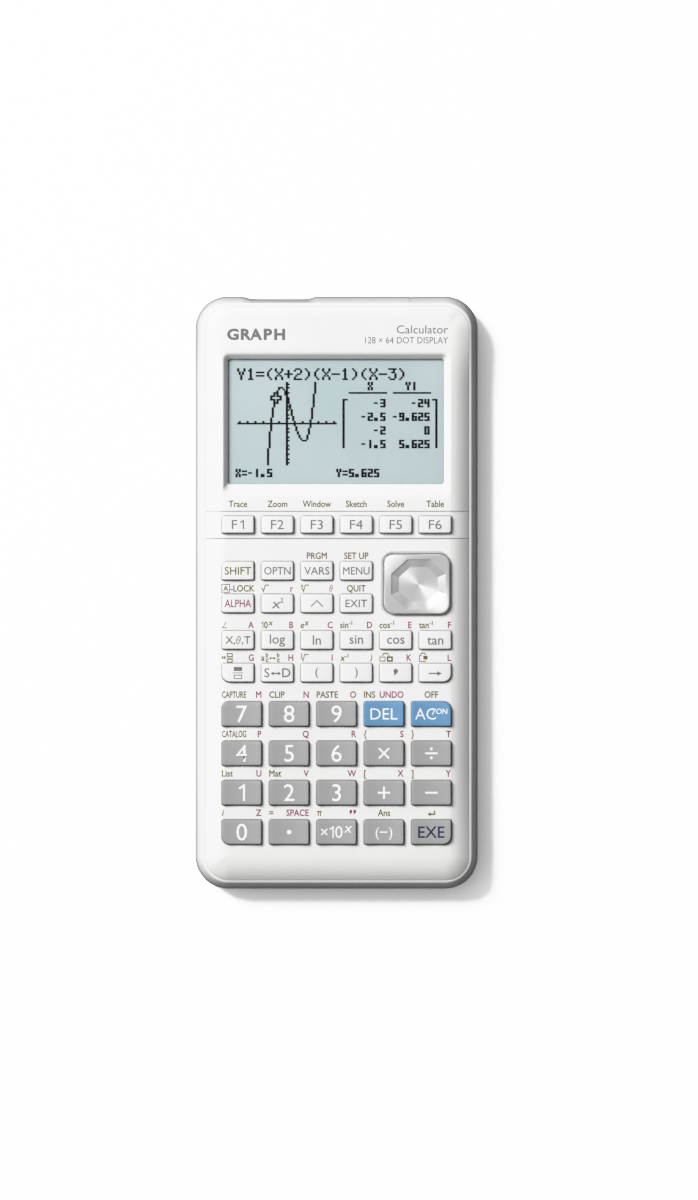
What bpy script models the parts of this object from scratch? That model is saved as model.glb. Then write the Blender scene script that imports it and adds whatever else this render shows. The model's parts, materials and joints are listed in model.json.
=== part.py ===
"""A hand-held graphing calculator, taken apart: two case halves, battery cover and cells,
display window and panel, circuit board, rubber key sheet, 46 keys and a tilting cursor pad.

It lies on its back with the keys up: +X to the right, +Y towards the display, +Z out of
the keys. The origin is the centre of the back's flat face. Sizes are in millimetres and
become metres in new_mesh.
"""

import math

import bmesh
import bpy

MM = 0.001

# Driving dimensions
WIDTH = 83.5
LENGTH = 175.5
CORNER = 9.7
FACE_Z = 17.0
WALL_UNDER_FACE_Z = 15.8
PARTING_Z = 8.0
BACK_WALL = 1.4
SIDE_WALL = 1.8
GAP = 0.3

# Board and key sheet
BOARD_WIDTH = 65.6
BOARD_Y = (-80.0, 27.0)
BOARD_Z = (12.9, 13.6)
BOARD_CORNER = 2.0
SHEET_Y = (-76.8, 25.2)
SHEET_Z = (13.85, 14.2)
DOME_SIZE = (6.4, 4.4)
DOME_TOP_Z = 14.85
DOME_WALL = 0.6
DOME_TAPER = 0.7
PAD_DOME_REACH = 6.2

# Keys: the flange stops on the sheet when a key is pressed all the way
KEY_TRAVEL = 0.9
FLANGE = 0.6
FLANGE_FOOT_Z = SHEET_Z[1] + KEY_TRAVEL + 0.05
FLANGE_TOP_Z = WALL_UNDER_FACE_Z - GAP
WHITE_PITCH = 11.67
WHITE_WIDTH = 9.8
WHITE_HEIGHT = 5.77
WHITE_TOP_Z = 18.2
FUNCTION_HEIGHT = 5.35
GREY_PITCH = 14.02
GREY_ROW_PITCH = 11.65
GREY_WIDTH = 12.0
GREY_HEIGHT = 7.55
GREY_TOP_Z = 18.4
KEY_CORNER = 0.6
KEY_DRAFT = 0.3
KEY_EDGE = 0.2
KEY_CLEARANCE = 0.25
FUNCTION_Y = 20.15
WHITE_ROWS_Y = (6.5, -3.15, -13.97, -23.65)
GREY_TOP_ROW_Y = -35.83

FUNCTION_NAMES = ("f1", "f2", "f3", "f4", "f5", "f6")
WHITE_NAMES = (
    ("shift", "optn", "vars", "menu"),
    ("alpha", "square", "power", "exit"),
    ("variable", "log", "ln", "sin", "cos", "tan"),
    ("fraction", "convert", "open_bracket", "close_bracket", "comma", "store"),
)
GREY_NAMES = (
    ("7", "8", "9", "del", "ac"),
    ("4", "5", "6", "times", "divide"),
    ("1", "2", "3", "plus", "minus"),
    ("0", "point", "exponent", "negative", "exe"),
)
BLUE_KEYS = ("del", "ac")

# Cursor pad
PAD_CENTER = (23.94, 2.45)
PAD_SIZE = (19.5, 17.7)
PAD_CORNER = 2.9
PAD_TOP_Z = 18.6
PAD_FLANGE_Z = (14.55, 14.95)
PAD_PIVOT_Z = 14.9
PAD_SIDE = ((0.0, PAD_FLANGE_Z[1]), (-0.35, PAD_TOP_Z - 0.5), (-0.9, PAD_TOP_Z))
PAD_UNDERSIDE = (-0.9, 15.15)
PAD_SOCKET_RADIUS = 3.4
PAD_SOCKET_Z = 17.0
PIVOT_RADIUS = 2.0
PIVOT_FOOT_RADIUS = 3.0
PIVOT_FOOT_HEIGHT = 0.7
PIVOT_Z = (13.9, 16.6)

# Display
VIEW_X = (-32.2, 31.8)
VIEW_Y = (32.1, 69.2)
BEZEL_WIDTH = 67.1
BEZEL_Y = (28.6, 70.8)
BEZEL_FOOT_Z = 15.0
LIP_X = (-34.3, 34.3)
LIP_Y = (27.9, 71.5)
LIP_Z = (14.8, 16.3)
WINDOW_WIDTH = 67.2
WINDOW_Y = (28.9, 71.9)
WINDOW_Z = (14.2, 14.7)
PANEL_WIDTH = 66.0
PANEL_Y = (30.0, 71.0)
PANEL_Z = (12.0, 14.1)

# Battery bay: four AAA cells side by side along Y
CELL_DIAMETER = 10.3
CELL_LENGTH = 43.5
CELL_NUB = (3.8, 0.8)
CELL_PITCH = 10.9
CELL_Z = 6.65
BAY_CENTER_Y = -47.0
BAY_SIZE = (44.0, 48.0)
BAY_CEILING_Z = (12.05, 12.65)
BAY_WALL = 1.2
RECESS_X = 26.0
RECESS_Y = (-75.4, -18.6)
SHELF_Z = (1.55, 2.7)

# Battery cover
COVER_Z = (0.25, 1.25)
COVER_Y = (-74.9, RECESS_Y[1] - GAP)
COVER_HINGE = (0.0, -74.6, 0.75)
HOOK_X = 14.0
HOOK_WIDTH = 6.0
HOOK_LEG = ((-74.7, -73.6), (0.9, 2.1))
HOOK_TOE = ((-75.9, -73.8), (1.75, 2.3))
HOOK_SLOT = ((-76.4, -72.1), (1.5, 3.5))
TONGUE_WIDTH = 8.0
TONGUE = ((-20.9, -19.9), (0.9, 4.0))
TONGUE_SLOT = ((-21.5, -19.3), (1.3, 3.5))
SCOOP_SIZE = (14.0, 4.0, 0.8)

# Screws and port
SCREWS_XY = [(side * 36.4, y) for y in (-78.5, 14.6, 78.0) for side in (-1, 1)]
SCREW_HEAD_RADIUS = 2.1
SCREW_HEAD_Z = 2.4
SCREW_HOLE_RADIUS = 1.1
FRONT_BOSS_RADIUS = 1.8
REAR_BOSS_RADIUS = 2.7
PORT_X = (-24.1, -9.5)
PORT_Y = (77.0, 86.6)
PORT_Z = (5.0, 10.2)
PORT_RECESS_X = (-25.1, -8.5)
PORT_RECESS_DEPTH = 0.7
PORT_RECESS_RISE = 0.8
PORT_CUT_Y = (80.0, 90.0)
PLUG_X = (-23.6, -16.6)
PLUG_HALF_HEIGHT = 1.5
JACK_X = -12.3
JACK_RADIUS = 1.3
SOCKET_DEPTH = 6.0

# Side profiles of the halves, as (inset from the outline, height)
FRONT_INSIDE = ((4.4, WALL_UNDER_FACE_Z), (3.0, 13.5), (SIDE_WALL, PARTING_Z + GAP / 2))
FRONT_OUTSIDE = (
    (0.0, PARTING_Z + GAP / 2),
    (0.35, 11.5),
    (1.9, 14.6),
    (2.6, 16.2),
    (4.5, 16.75),
    (7.5, FACE_Z),
)
REAR_INSIDE = ((3.6, BACK_WALL), (2.2, 2.8), (SIDE_WALL, PARTING_Z - GAP / 2))
REAR_OUTSIDE = ((0.0, PARTING_Z - GAP / 2), (0.2, 2.4), (1.2, 0.8), (3.0, 0.0))


def clear_scene():
    for obj in list(bpy.data.objects):
        bpy.data.objects.remove(obj, do_unlink=True)


def new_material(name, color, roughness, metallic=0.0, alpha=1.0):
    material = bpy.data.materials.new(name)
    material.use_nodes = True
    shader = material.node_tree.nodes["Principled BSDF"]
    shader.inputs["Base Color"].default_value = (*color, 1.0)
    shader.inputs["Roughness"].default_value = roughness
    shader.inputs["Metallic"].default_value = metallic
    shader.inputs["Alpha"].default_value = alpha
    return material


def make_materials():
    return {
        "white": new_material("white_plastic", (0.86, 0.86, 0.85), 0.35),
        "rear": new_material("rear_plastic", (0.80, 0.80, 0.79), 0.5),
        "key": new_material("key_plastic", (0.83, 0.83, 0.82), 0.4),
        "grey": new_material("grey_key_plastic", (0.38, 0.39, 0.40), 0.4),
        "blue": new_material("blue_key_plastic", (0.10, 0.33, 0.62), 0.4),
        "silver": new_material("silver_paint", (0.75, 0.75, 0.75), 0.3, metallic=0.9),
        "clear": new_material("clear_window", (0.9, 0.92, 0.92), 0.05, alpha=0.3),
        "display": new_material("display_glass", (0.55, 0.62, 0.62), 0.3),
        "board": new_material("circuit_board", (0.05, 0.25, 0.12), 0.5),
        "rubber": new_material("key_rubber", (0.55, 0.55, 0.55), 0.8),
        "cell": new_material("cell_jacket", (0.10, 0.12, 0.14), 0.3, metallic=0.4),
        "metal": new_material("port_steel", (0.55, 0.55, 0.57), 0.3, metallic=1.0),
    }


def rounded_rectangle(width, height, radius, spans=3, center=(0.0, 0.0)):
    """Corner arcs of `spans` chords each, anticlockwise from the lower right corner."""
    corners = ((1, -1, -90), (1, 1, 0), (-1, 1, 90), (-1, -1, 180))
    points = []
    for side_x, side_y, start in corners:
        middle_x = center[0] + side_x * (width / 2 - radius)
        middle_y = center[1] + side_y * (height / 2 - radius)
        for i in range(spans + 1):
            angle = math.radians(start + 90 * i / spans)
            x = middle_x + radius * math.cos(angle)
            y = middle_y + radius * math.sin(angle)
            points.append((x, y))
    return points


def rectangle(x_range, y_range):
    (x0, x1), (y0, y1) = x_range, y_range
    return [(x1, y0), (x1, y1), (x0, y1), (x0, y0)]


def circle(radius, center=(0.0, 0.0), sides=10):
    angles = [2 * math.pi * i / sides for i in range(sides)]
    return [
        (center[0] + radius * math.cos(a), center[1] + radius * math.sin(a))
        for a in angles
    ]


def at_height(outline, z):
    return [(x, y, z) for x, y in outline]


def add_loft(bm, rings):
    """Joins rings of equally many points with quads, and closes both ends."""
    rows = [[bm.verts.new(point) for point in ring] for ring in rings]
    count = len(rows[0])
    for lower, upper in zip(rows, rows[1:]):
        for i in range(count):
            j = (i + 1) % count
            bm.faces.new((lower[i], lower[j], upper[j], upper[i]))
    bm.faces.new(rows[0])
    bm.faces.new(rows[-1])


def prism(outline, z_range):
    return [at_height(outline, z) for z in z_range]


def new_mesh(name, lofts, origin=(0.0, 0.0, 0.0)):
    """A mesh in metres, with its points counted from the origin, of separate lofts."""
    bm = bmesh.new()
    for rings in lofts:
        add_loft(bm, rings)
    bmesh.ops.recalc_face_normals(bm, faces=bm.faces)
    for vert in bm.verts:
        vert.co = [MM * (c - o) for c, o in zip(vert.co, origin)]
    mesh = bpy.data.meshes.new(name)
    bm.to_mesh(mesh)
    bm.free()
    return mesh


def new_object(name, lofts, material, origin=(0.0, 0.0, 0.0)):
    mesh = new_mesh(name, lofts, origin)
    mesh.materials.append(material)
    obj = bpy.data.objects.new(name, mesh)
    obj.location = [MM * o for o in origin]
    bpy.context.scene.collection.objects.link(obj)
    return obj


def combine(obj, operation, lofts):
    """Adds an EXACT Boolean with a hidden helper made of the given lofts."""
    number = len(obj.modifiers)
    helper = bpy.data.objects.new(
        f"{obj.name}_helper_{number}", new_mesh(f"{obj.name}_helper_{number}", lofts)
    )
    bpy.context.scene.collection.objects.link(helper)
    helper.hide_render = True
    helper.display_type = "WIRE"
    modifier = obj.modifiers.new(f"boolean_{number}", "BOOLEAN")
    modifier.operation = operation
    modifier.solver = "EXACT"
    modifier.object = helper


def shade_round(obj, angle=35):
    obj.data.shade_smooth()
    obj.data.set_sharp_from_angle(angle=math.radians(angle))


def case_ring(inset, z, spans=5):
    radius = max(CORNER - 0.7 * inset, 2.0)
    outline = rounded_rectangle(WIDTH - 2 * inset, LENGTH - 2 * inset, radius, spans)
    return at_height(outline, z)


def column(index, count, pitch):
    return pitch * (index - (count - 1) / 2)


def key_layout():
    """(name, centre x, centre y, width, height, top z, material) of every key."""
    rows = [(FUNCTION_NAMES, FUNCTION_Y, FUNCTION_HEIGHT)]
    rows += [(names, y, WHITE_HEIGHT) for names, y in zip(WHITE_NAMES, WHITE_ROWS_Y)]
    keys = []
    for names, y, height in rows:
        for i, name in enumerate(names):
            x = column(i, len(FUNCTION_NAMES), WHITE_PITCH)
            keys.append((name, x, y, WHITE_WIDTH, height, WHITE_TOP_Z, "key"))
    for row, names in enumerate(GREY_NAMES):
        y = GREY_TOP_ROW_Y - GREY_ROW_PITCH * row
        for i, name in enumerate(names):
            x = column(i, len(names), GREY_PITCH)
            finish = "blue" if name in BLUE_KEYS else "grey"
            keys.append((name, x, y, GREY_WIDTH, GREY_HEIGHT, GREY_TOP_Z, finish))
    return keys


def make_keys(keys, materials):
    """Each key is a drafted cap with a flange that holds it under the face."""
    for name, x, y, width, height, top_z, finish in keys:
        sizes = (
            (FLANGE, FLANGE_FOOT_Z),
            (FLANGE, FLANGE_TOP_Z),
            (0.0, FLANGE_TOP_Z),
            (-KEY_DRAFT, top_z - KEY_EDGE),
            (-KEY_DRAFT - KEY_EDGE, top_z),
        )
        rings = []
        for grow, z in sizes:
            outline = rounded_rectangle(
                width + 2 * grow, height + 2 * grow, KEY_CORNER, spans=1, center=(x, y)
            )
            rings.append(at_height(outline, z))
        new_object(f"key_{name}", [rings], materials[finish], (x, y, FLANGE_FOOT_Z))


def pad_outline(grow=0.0, spans=3):
    width, height = PAD_SIZE
    radius = PAD_CORNER + grow
    return rounded_rectangle(width + 2 * grow, height + 2 * grow, radius, spans, PAD_CENTER)


def make_cursor_pad(materials):
    """The pad tilts about X with its pivot and about Y on the pivot."""
    origin = (*PAD_CENTER, PAD_PIVOT_Z)
    rings = prism(pad_outline(FLANGE), PAD_FLANGE_Z)
    rings += [at_height(pad_outline(grow), z) for grow, z in PAD_SIDE]
    pad = new_object("cursor_pad", [rings], materials["silver"], origin)
    below = PAD_FLANGE_Z[0] - 1
    grow, underside_z = PAD_UNDERSIDE
    combine(pad, "DIFFERENCE", [prism(pad_outline(grow, spans=1), (below, underside_z))])
    socket = circle(PAD_SOCKET_RADIUS, PAD_CENTER)
    combine(pad, "DIFFERENCE", [prism(socket, (below, PAD_SOCKET_Z))])

    foot_top = PIVOT_Z[0] + PIVOT_FOOT_HEIGHT
    rings = [
        at_height(circle(PIVOT_FOOT_RADIUS, PAD_CENTER), PIVOT_Z[0]),
        at_height(circle(PIVOT_FOOT_RADIUS, PAD_CENTER), foot_top),
        at_height(circle(PIVOT_RADIUS, PAD_CENTER), foot_top),
        at_height(circle(PIVOT_RADIUS, PAD_CENTER), PIVOT_Z[1]),
    ]
    pivot = new_object("cursor_pivot", [rings], materials["rear"], origin)
    shade_round(pivot)


def port_box(grow, y_range):
    outline = rectangle((PORT_X[0] - grow, PORT_X[1] + grow), y_range)
    return prism(outline, (PORT_Z[0] - grow, PORT_Z[1] + grow))


def port_recess():
    """The shallow step in the top edge around the port."""
    edge = LENGTH / 2
    outline = rectangle(PORT_RECESS_X, (edge - PORT_RECESS_DEPTH, edge + 2))
    return prism(outline, (PORT_Z[0] - PORT_RECESS_RISE, PORT_Z[1] + PORT_RECESS_RISE))


def make_front_case(keys, materials):
    rings = [case_ring(inset, z) for inset, z in FRONT_INSIDE + FRONT_OUTSIDE]
    front = new_object("front_case", [rings], materials["white"])
    boss_z = (PARTING_Z + GAP / 2, WALL_UNDER_FACE_Z + 0.5)
    bosses = [prism(circle(FRONT_BOSS_RADIUS, xy, sides=8), boss_z) for xy in SCREWS_XY]
    combine(front, "UNION", bosses)
    combine(front, "UNION", [prism(rectangle(LIP_X, LIP_Y), LIP_Z)])

    through = (WALL_UNDER_FACE_Z - 1, FACE_Z + 1)
    holes = []
    for _, x, y, width, height, _, _ in keys:
        half_x = width / 2 + KEY_CLEARANCE
        half_y = height / 2 + KEY_CLEARANCE
        outline = rectangle((x - half_x, x + half_x), (y - half_y, y + half_y))
        holes.append(prism(outline, through))
    holes.append(prism(pad_outline(GAP), through))
    holes.append(display_opening())
    combine(front, "DIFFERENCE", holes)
    combine(front, "DIFFERENCE", [port_recess()])
    combine(front, "DIFFERENCE", [port_box(GAP, PORT_CUT_Y)])
    shade_round(front)


def display_opening():
    """A bevelled opening, wide at the face and as small as the view at its foot."""
    view = rectangle(VIEW_X, VIEW_Y)
    bezel = rectangle((-BEZEL_WIDTH / 2, BEZEL_WIDTH / 2), BEZEL_Y)
    return [
        at_height(view, LIP_Z[0] - 1),
        at_height(view, BEZEL_FOOT_Z),
        at_height(bezel, FACE_Z),
        at_height(bezel, FACE_Z + 1),
    ]


def make_rear_case(materials):
    rings = [case_ring(inset, z) for inset, z in REAR_INSIDE + REAR_OUTSIDE]
    rear = new_object("rear_case", [rings], materials["rear"])

    half_x, half_y = BAY_SIZE[0] / 2, BAY_SIZE[1] / 2
    bay_y = (BAY_CENTER_Y - half_y, BAY_CENTER_Y + half_y)
    bay_outer = rectangle(
        (-half_x - BAY_WALL, half_x + BAY_WALL), (bay_y[0] - BAY_WALL, bay_y[1] + BAY_WALL)
    )
    shelf_x = RECESS_X + BAY_WALL
    shelf = rectangle((-shelf_x, shelf_x), (RECESS_Y[0] - BAY_WALL, RECESS_Y[1] + BAY_WALL))
    combine(rear, "UNION", [prism(bay_outer, (BACK_WALL / 3, BAY_CEILING_Z[1]))])
    combine(rear, "UNION", [prism(shelf, (BACK_WALL / 2, SHELF_Z[1]))])
    boss_z = (BACK_WALL / 2, PARTING_Z - GAP / 2)
    bosses = [prism(circle(REAR_BOSS_RADIUS, xy, sides=8), boss_z) for xy in SCREWS_XY]
    combine(rear, "UNION", bosses)

    bay = rectangle((-half_x, half_x), bay_y)
    recess = rectangle((-RECESS_X, RECESS_X), RECESS_Y)
    combine(rear, "DIFFERENCE", [prism(bay, (-1.0, BAY_CEILING_Z[0]))])
    combine(rear, "DIFFERENCE", [prism(recess, (-1.0, SHELF_Z[0]))])
    combine(rear, "DIFFERENCE", cover_slots())
    combine(rear, "DIFFERENCE", screw_holes())
    combine(rear, "DIFFERENCE", [port_recess()])
    combine(rear, "DIFFERENCE", [port_box(GAP, PORT_CUT_Y)])
    shade_round(rear)


def bar(middle_x, width, side_view):
    """A box from its middle and width along X and its (Y range, Z range)."""
    y_range, z_range = side_view
    x_range = (middle_x - width / 2, middle_x + width / 2)
    return prism(rectangle(x_range, y_range), z_range)


def cover_slots():
    """Room for the cover's hooks and tongue in the shelf, and the scoop for a finger."""
    slots = [bar(x, HOOK_WIDTH + 2 * GAP, HOOK_SLOT) for x in (-HOOK_X, HOOK_X)]
    slots.append(bar(0.0, TONGUE_WIDTH + 2 * GAP, TONGUE_SLOT))
    width, length, depth = SCOOP_SIZE
    scoop_y = (RECESS_Y[1] - 0.5, RECESS_Y[1] + length)
    slots.append(bar(0.0, width, (scoop_y, (-1.0, depth))))
    return slots


def screw_holes():
    return [
        [
            at_height(circle(SCREW_HEAD_RADIUS, xy), -1.0),
            at_height(circle(SCREW_HEAD_RADIUS, xy), SCREW_HEAD_Z),
            at_height(circle(SCREW_HOLE_RADIUS, xy), SCREW_HEAD_Z),
            at_height(circle(SCREW_HOLE_RADIUS, xy), PARTING_Z + 1),
        ]
        for xy in SCREWS_XY
    ]


def make_battery_cover(materials):
    """It swings out about the hooks at its lower edge; the tongue snaps at the other end."""
    plate = bar(0.0, 2 * (RECESS_X - GAP), (COVER_Y, COVER_Z))
    cover = new_object("battery_cover", [plate], materials["rear"], COVER_HINGE)
    combine(cover, "UNION", [bar(x, HOOK_WIDTH, HOOK_LEG) for x in (-HOOK_X, HOOK_X)])
    combine(cover, "UNION", [bar(x, HOOK_WIDTH, HOOK_TOE) for x in (-HOOK_X, HOOK_X)])
    combine(cover, "UNION", [bar(0.0, TONGUE_WIDTH, TONGUE)])


def make_cells(materials):
    """Four AAA cells, the nubs of neighbours pointing opposite ways."""
    nub_diameter, nub_length = CELL_NUB
    for i in range(4):
        x = column(i, 4, CELL_PITCH)
        way = 1 if i % 2 == 0 else -1
        start = BAY_CENTER_Y - way * (CELL_LENGTH + nub_length) / 2
        stations = (
            (CELL_DIAMETER / 2, 0.0),
            (CELL_DIAMETER / 2, CELL_LENGTH),
            (nub_diameter / 2, CELL_LENGTH),
            (nub_diameter / 2, CELL_LENGTH + nub_length),
        )
        rings = [
            [(x + u, start + way * reach, CELL_Z + v) for u, v in circle(radius, sides=16)]
            for radius, reach in stations
        ]
        cell = new_object(f"battery_{i + 1}", [rings], materials["cell"])
        shade_round(cell)


def make_display(materials):
    window = rectangle((-WINDOW_WIDTH / 2, WINDOW_WIDTH / 2), WINDOW_Y)
    new_object("display_window", [prism(window, WINDOW_Z)], materials["clear"])
    panel = rectangle((-PANEL_WIDTH / 2, PANEL_WIDTH / 2), PANEL_Y)
    new_object("lcd_panel", [prism(panel, PANEL_Z)], materials["display"])


def make_board(materials):
    middle = (0.0, sum(BOARD_Y) / 2)
    outline = rounded_rectangle(BOARD_WIDTH, BOARD_Y[1] - BOARD_Y[0], BOARD_CORNER, 2, middle)
    new_object("main_board", [prism(outline, BOARD_Z)], materials["board"])


def dome(x, y, shrink=0.0):
    """A rubber dome, or with shrink the hollow under it."""
    base_x, base_y = (size - 2 * shrink for size in DOME_SIZE)
    foot_z = SHEET_Z[0] + 0.1 if shrink == 0 else SHEET_Z[0] - 0.5
    rings = []
    for scale, z in ((1.0, foot_z), (DOME_TAPER, DOME_TOP_Z - shrink / 2)):
        half_x, half_y = scale * base_x / 2, scale * base_y / 2
        outline = rectangle((x - half_x, x + half_x), (y - half_y, y + half_y))
        rings.append(at_height(outline, z))
    return rings


def make_key_sheet(keys, materials):
    """One rubber sheet with a hollow dome under each key and four under the pad."""
    middle = (0.0, sum(SHEET_Y) / 2)
    outline = rounded_rectangle(BOARD_WIDTH, SHEET_Y[1] - SHEET_Y[0], BOARD_CORNER, 2, middle)
    sheet = new_object("key_sheet", [prism(outline, SHEET_Z)], materials["rubber"])
    places = [(x, y) for _, x, y, *_ in keys]
    for angle in (0, 90, 180, 270):
        x = PAD_CENTER[0] + PAD_DOME_REACH * math.cos(math.radians(angle))
        y = PAD_CENTER[1] + PAD_DOME_REACH * math.sin(math.radians(angle))
        places.append((x, y))
    combine(sheet, "UNION", [dome(x, y) for x, y in places])
    combine(sheet, "DIFFERENCE", [dome(x, y, DOME_WALL) for x, y in places])
    hole = circle(PIVOT_FOOT_RADIUS + 0.4, PAD_CENTER)
    combine(sheet, "DIFFERENCE", [prism(hole, (SHEET_Z[0] - 1, SHEET_Z[1] + 1))])


def make_data_port(materials):
    """A shielded socket block with a flat plug opening beside a round jack."""
    port = new_object("data_port", [port_box(0.0, PORT_Y)], materials["metal"])
    middle_z = sum(PORT_Z) / 2
    socket_y = (PORT_Y[1] - SOCKET_DEPTH, PORT_Y[1] + 1)
    plug_z = (middle_z - PLUG_HALF_HEIGHT, middle_z + PLUG_HALF_HEIGHT)
    plug = prism(rectangle(PLUG_X, socket_y), plug_z)
    jack_outline = circle(JACK_RADIUS, (JACK_X, middle_z), sides=12)
    jack = [[(x, y, z) for x, z in jack_outline] for y in socket_y]
    combine(port, "DIFFERENCE", [plug, jack])


def main():
    clear_scene()
    materials = make_materials()
    keys = key_layout()
    make_front_case(keys, materials)
    make_rear_case(materials)
    make_battery_cover(materials)
    make_cells(materials)
    make_display(materials)
    make_board(materials)
    make_key_sheet(keys, materials)
    make_data_port(materials)
    make_cursor_pad(materials)
    make_keys(keys, materials)


main()
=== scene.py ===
"""Looks of the graphing calculator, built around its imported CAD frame.

Lengths here are millimetres in the CAD frame: +X right, +Y towards the display, +Z out
of the keys. new_piece turns them into metres. Places come from the CAD nodes' boxes.
"""

import json
import math

import bmesh
import bpy
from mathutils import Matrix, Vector

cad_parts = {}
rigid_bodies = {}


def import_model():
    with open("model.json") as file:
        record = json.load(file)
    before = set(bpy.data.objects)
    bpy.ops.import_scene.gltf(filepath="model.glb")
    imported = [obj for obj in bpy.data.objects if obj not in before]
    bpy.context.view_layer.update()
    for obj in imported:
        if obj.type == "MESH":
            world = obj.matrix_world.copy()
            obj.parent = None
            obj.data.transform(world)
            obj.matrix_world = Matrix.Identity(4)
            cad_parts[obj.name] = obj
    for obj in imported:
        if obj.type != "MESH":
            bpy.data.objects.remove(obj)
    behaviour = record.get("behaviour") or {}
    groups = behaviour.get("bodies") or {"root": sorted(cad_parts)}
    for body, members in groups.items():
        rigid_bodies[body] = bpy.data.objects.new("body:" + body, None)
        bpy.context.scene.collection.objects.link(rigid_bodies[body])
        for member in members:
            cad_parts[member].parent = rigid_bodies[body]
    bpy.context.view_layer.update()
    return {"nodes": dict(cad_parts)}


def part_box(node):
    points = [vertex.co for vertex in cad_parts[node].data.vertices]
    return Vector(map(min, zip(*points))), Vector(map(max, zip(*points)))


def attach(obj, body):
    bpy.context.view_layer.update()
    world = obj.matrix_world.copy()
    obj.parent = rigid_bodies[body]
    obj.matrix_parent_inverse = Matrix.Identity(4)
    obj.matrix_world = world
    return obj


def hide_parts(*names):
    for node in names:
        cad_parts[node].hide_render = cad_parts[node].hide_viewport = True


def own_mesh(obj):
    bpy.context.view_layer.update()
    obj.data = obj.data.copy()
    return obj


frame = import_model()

MM = 0.001
GAP = 0.3

# ---------------------------------------------------------------- boxes from the CAD


def node_box(node):
    """Lowest and highest corner of a CAD node, in millimetres."""
    low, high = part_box(node)
    return [c / MM for c in low], [c / MM for c in high]


(_, _, PARTING_TOP), (HALF_W, HALF_L, FACE_Z) = node_box("front_case")
PARTING_LOW = node_box("rear_case")[0][2]
SHELL_SPLIT = 8.0
CORNER = 9.7
WALL_UNDER_FACE_Z = 15.8

# ---------------------------------------------------------------- mesh helpers


def join_rows(bm, lower, upper):
    """Quads between two closed rows of as many vertices."""
    for i in range(len(lower)):
        j = (i + 1) % len(lower)
        bm.faces.new((lower[i], lower[j], upper[j], upper[i]))


def add_loft(bm, rings):
    """Joins rings of equally many points with quads, and closes both ends."""
    rows = [[bm.verts.new(point) for point in ring] for ring in rings]
    for lower, upper in zip(rows, rows[1:]):
        join_rows(bm, lower, upper)
    bm.faces.new(rows[0])
    bm.faces.new(rows[-1])


def add_flat(bm, shape, top, bottom):
    """A closed slab from a flat (points, faces) shape; top and bottom are z at (x, y)."""
    points, faces = shape
    high = [bm.verts.new((x, y, top(x, y))) for x, y in points]
    low = [bm.verts.new((x, y, bottom(x, y))) for x, y in points]
    edges = {}
    for face in faces:
        for a, b in zip(face, face[1:] + face[:1]):
            edges[(a, b)] = edges.get((a, b), 0) + 1
    for face in faces:
        bm.faces.new([high[i] for i in face])
        bm.faces.new([low[i] for i in reversed(face)])
    for a, b in edges:
        if (b, a) not in edges:
            bm.faces.new((high[b], high[a], low[a], low[b]))


def finish_bmesh(bm, merge=0.0002):
    bmesh.ops.remove_doubles(bm, verts=bm.verts, dist=merge)
    bmesh.ops.dissolve_degenerate(bm, edges=bm.edges, dist=merge / 10)
    bmesh.ops.recalc_face_normals(bm, faces=bm.faces)


def bmesh_to_mesh(name, bm):
    for vert in bm.verts:
        vert.co *= MM
    mesh = bpy.data.meshes.new(name)
    bm.to_mesh(mesh)
    bm.free()
    return mesh


def smooth(obj, angle=30):
    obj.data.shade_smooth()
    obj.data.set_sharp_from_angle(angle=math.radians(angle))


def new_piece(name, bm, finish, body="case", replaces=(), slot=None, angle=30):
    """Makes a piece of the object from a bmesh in millimetres and puts it on its body."""
    obj = bpy.data.objects.new(name, bmesh_to_mesh(name, bm))
    bpy.context.scene.collection.objects.link(obj)
    obj.data.materials.append(MATERIALS[finish])
    smooth(obj, angle)
    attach(obj, body)
    slot or SLOTS.get(finish, RECIPES[finish][0])
    if replaces:
        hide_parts(*replaces)
    return obj


def lofted(name, lofts, finish, **options):
    """A piece made of lofts, each a list of rings."""
    return new_piece(name, lofts_bmesh(lofts), finish, **options)


def lofts_bmesh(lofts):
    bm = bmesh.new()
    for rings in lofts:
        add_loft(bm, rings)
    finish_bmesh(bm)
    return bm


def carve(obj, operation, lofts):
    """Applies an EXACT Boolean with a helper made of lofts, then drops the helper."""
    helper = bpy.data.objects.new("helper", bmesh_to_mesh("helper", lofts_bmesh(lofts)))
    bpy.context.scene.collection.objects.link(helper)
    modifier = obj.modifiers.new("carve", "BOOLEAN")
    modifier.operation = operation
    modifier.solver = "EXACT"
    modifier.object = helper
    bpy.context.view_layer.update()
    graph = bpy.context.evaluated_depsgraph_get()
    carved = bpy.data.meshes.new_from_object(obj.evaluated_get(graph))
    obj.modifiers.remove(modifier)
    old = obj.data
    obj.data = carved
    bpy.data.meshes.remove(old)
    bpy.data.objects.remove(helper)


def weigh_normals(obj, angle=30):
    """Keeps big flat faces flat-shaded beside their small rounded edges."""
    smooth(obj, angle)
    modifier = obj.modifiers.new("weigh", "WEIGHTED_NORMAL")
    modifier.keep_sharp = True
    modifier.weight = 80


def ring_at(outline, z):
    return [(x, y, z) for x, y in outline]


def prism(outline, z_range):
    return [ring_at(outline, z) for z in z_range]


def rectangle(x_range, y_range):
    (x0, x1), (y0, y1) = x_range, y_range
    return [(x1, y0), (x1, y1), (x0, y1), (x0, y0)]


def circle(radius, center=(0.0, 0.0), sides=32):
    angles = [2 * math.pi * i / sides for i in range(sides)]
    return [
        (center[0] + radius * math.cos(a), center[1] + radius * math.sin(a))
        for a in angles
    ]


CORNERS = ((1, -1, -90), (1, 1, 0), (-1, 1, 90), (-1, -1, 180))


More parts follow.
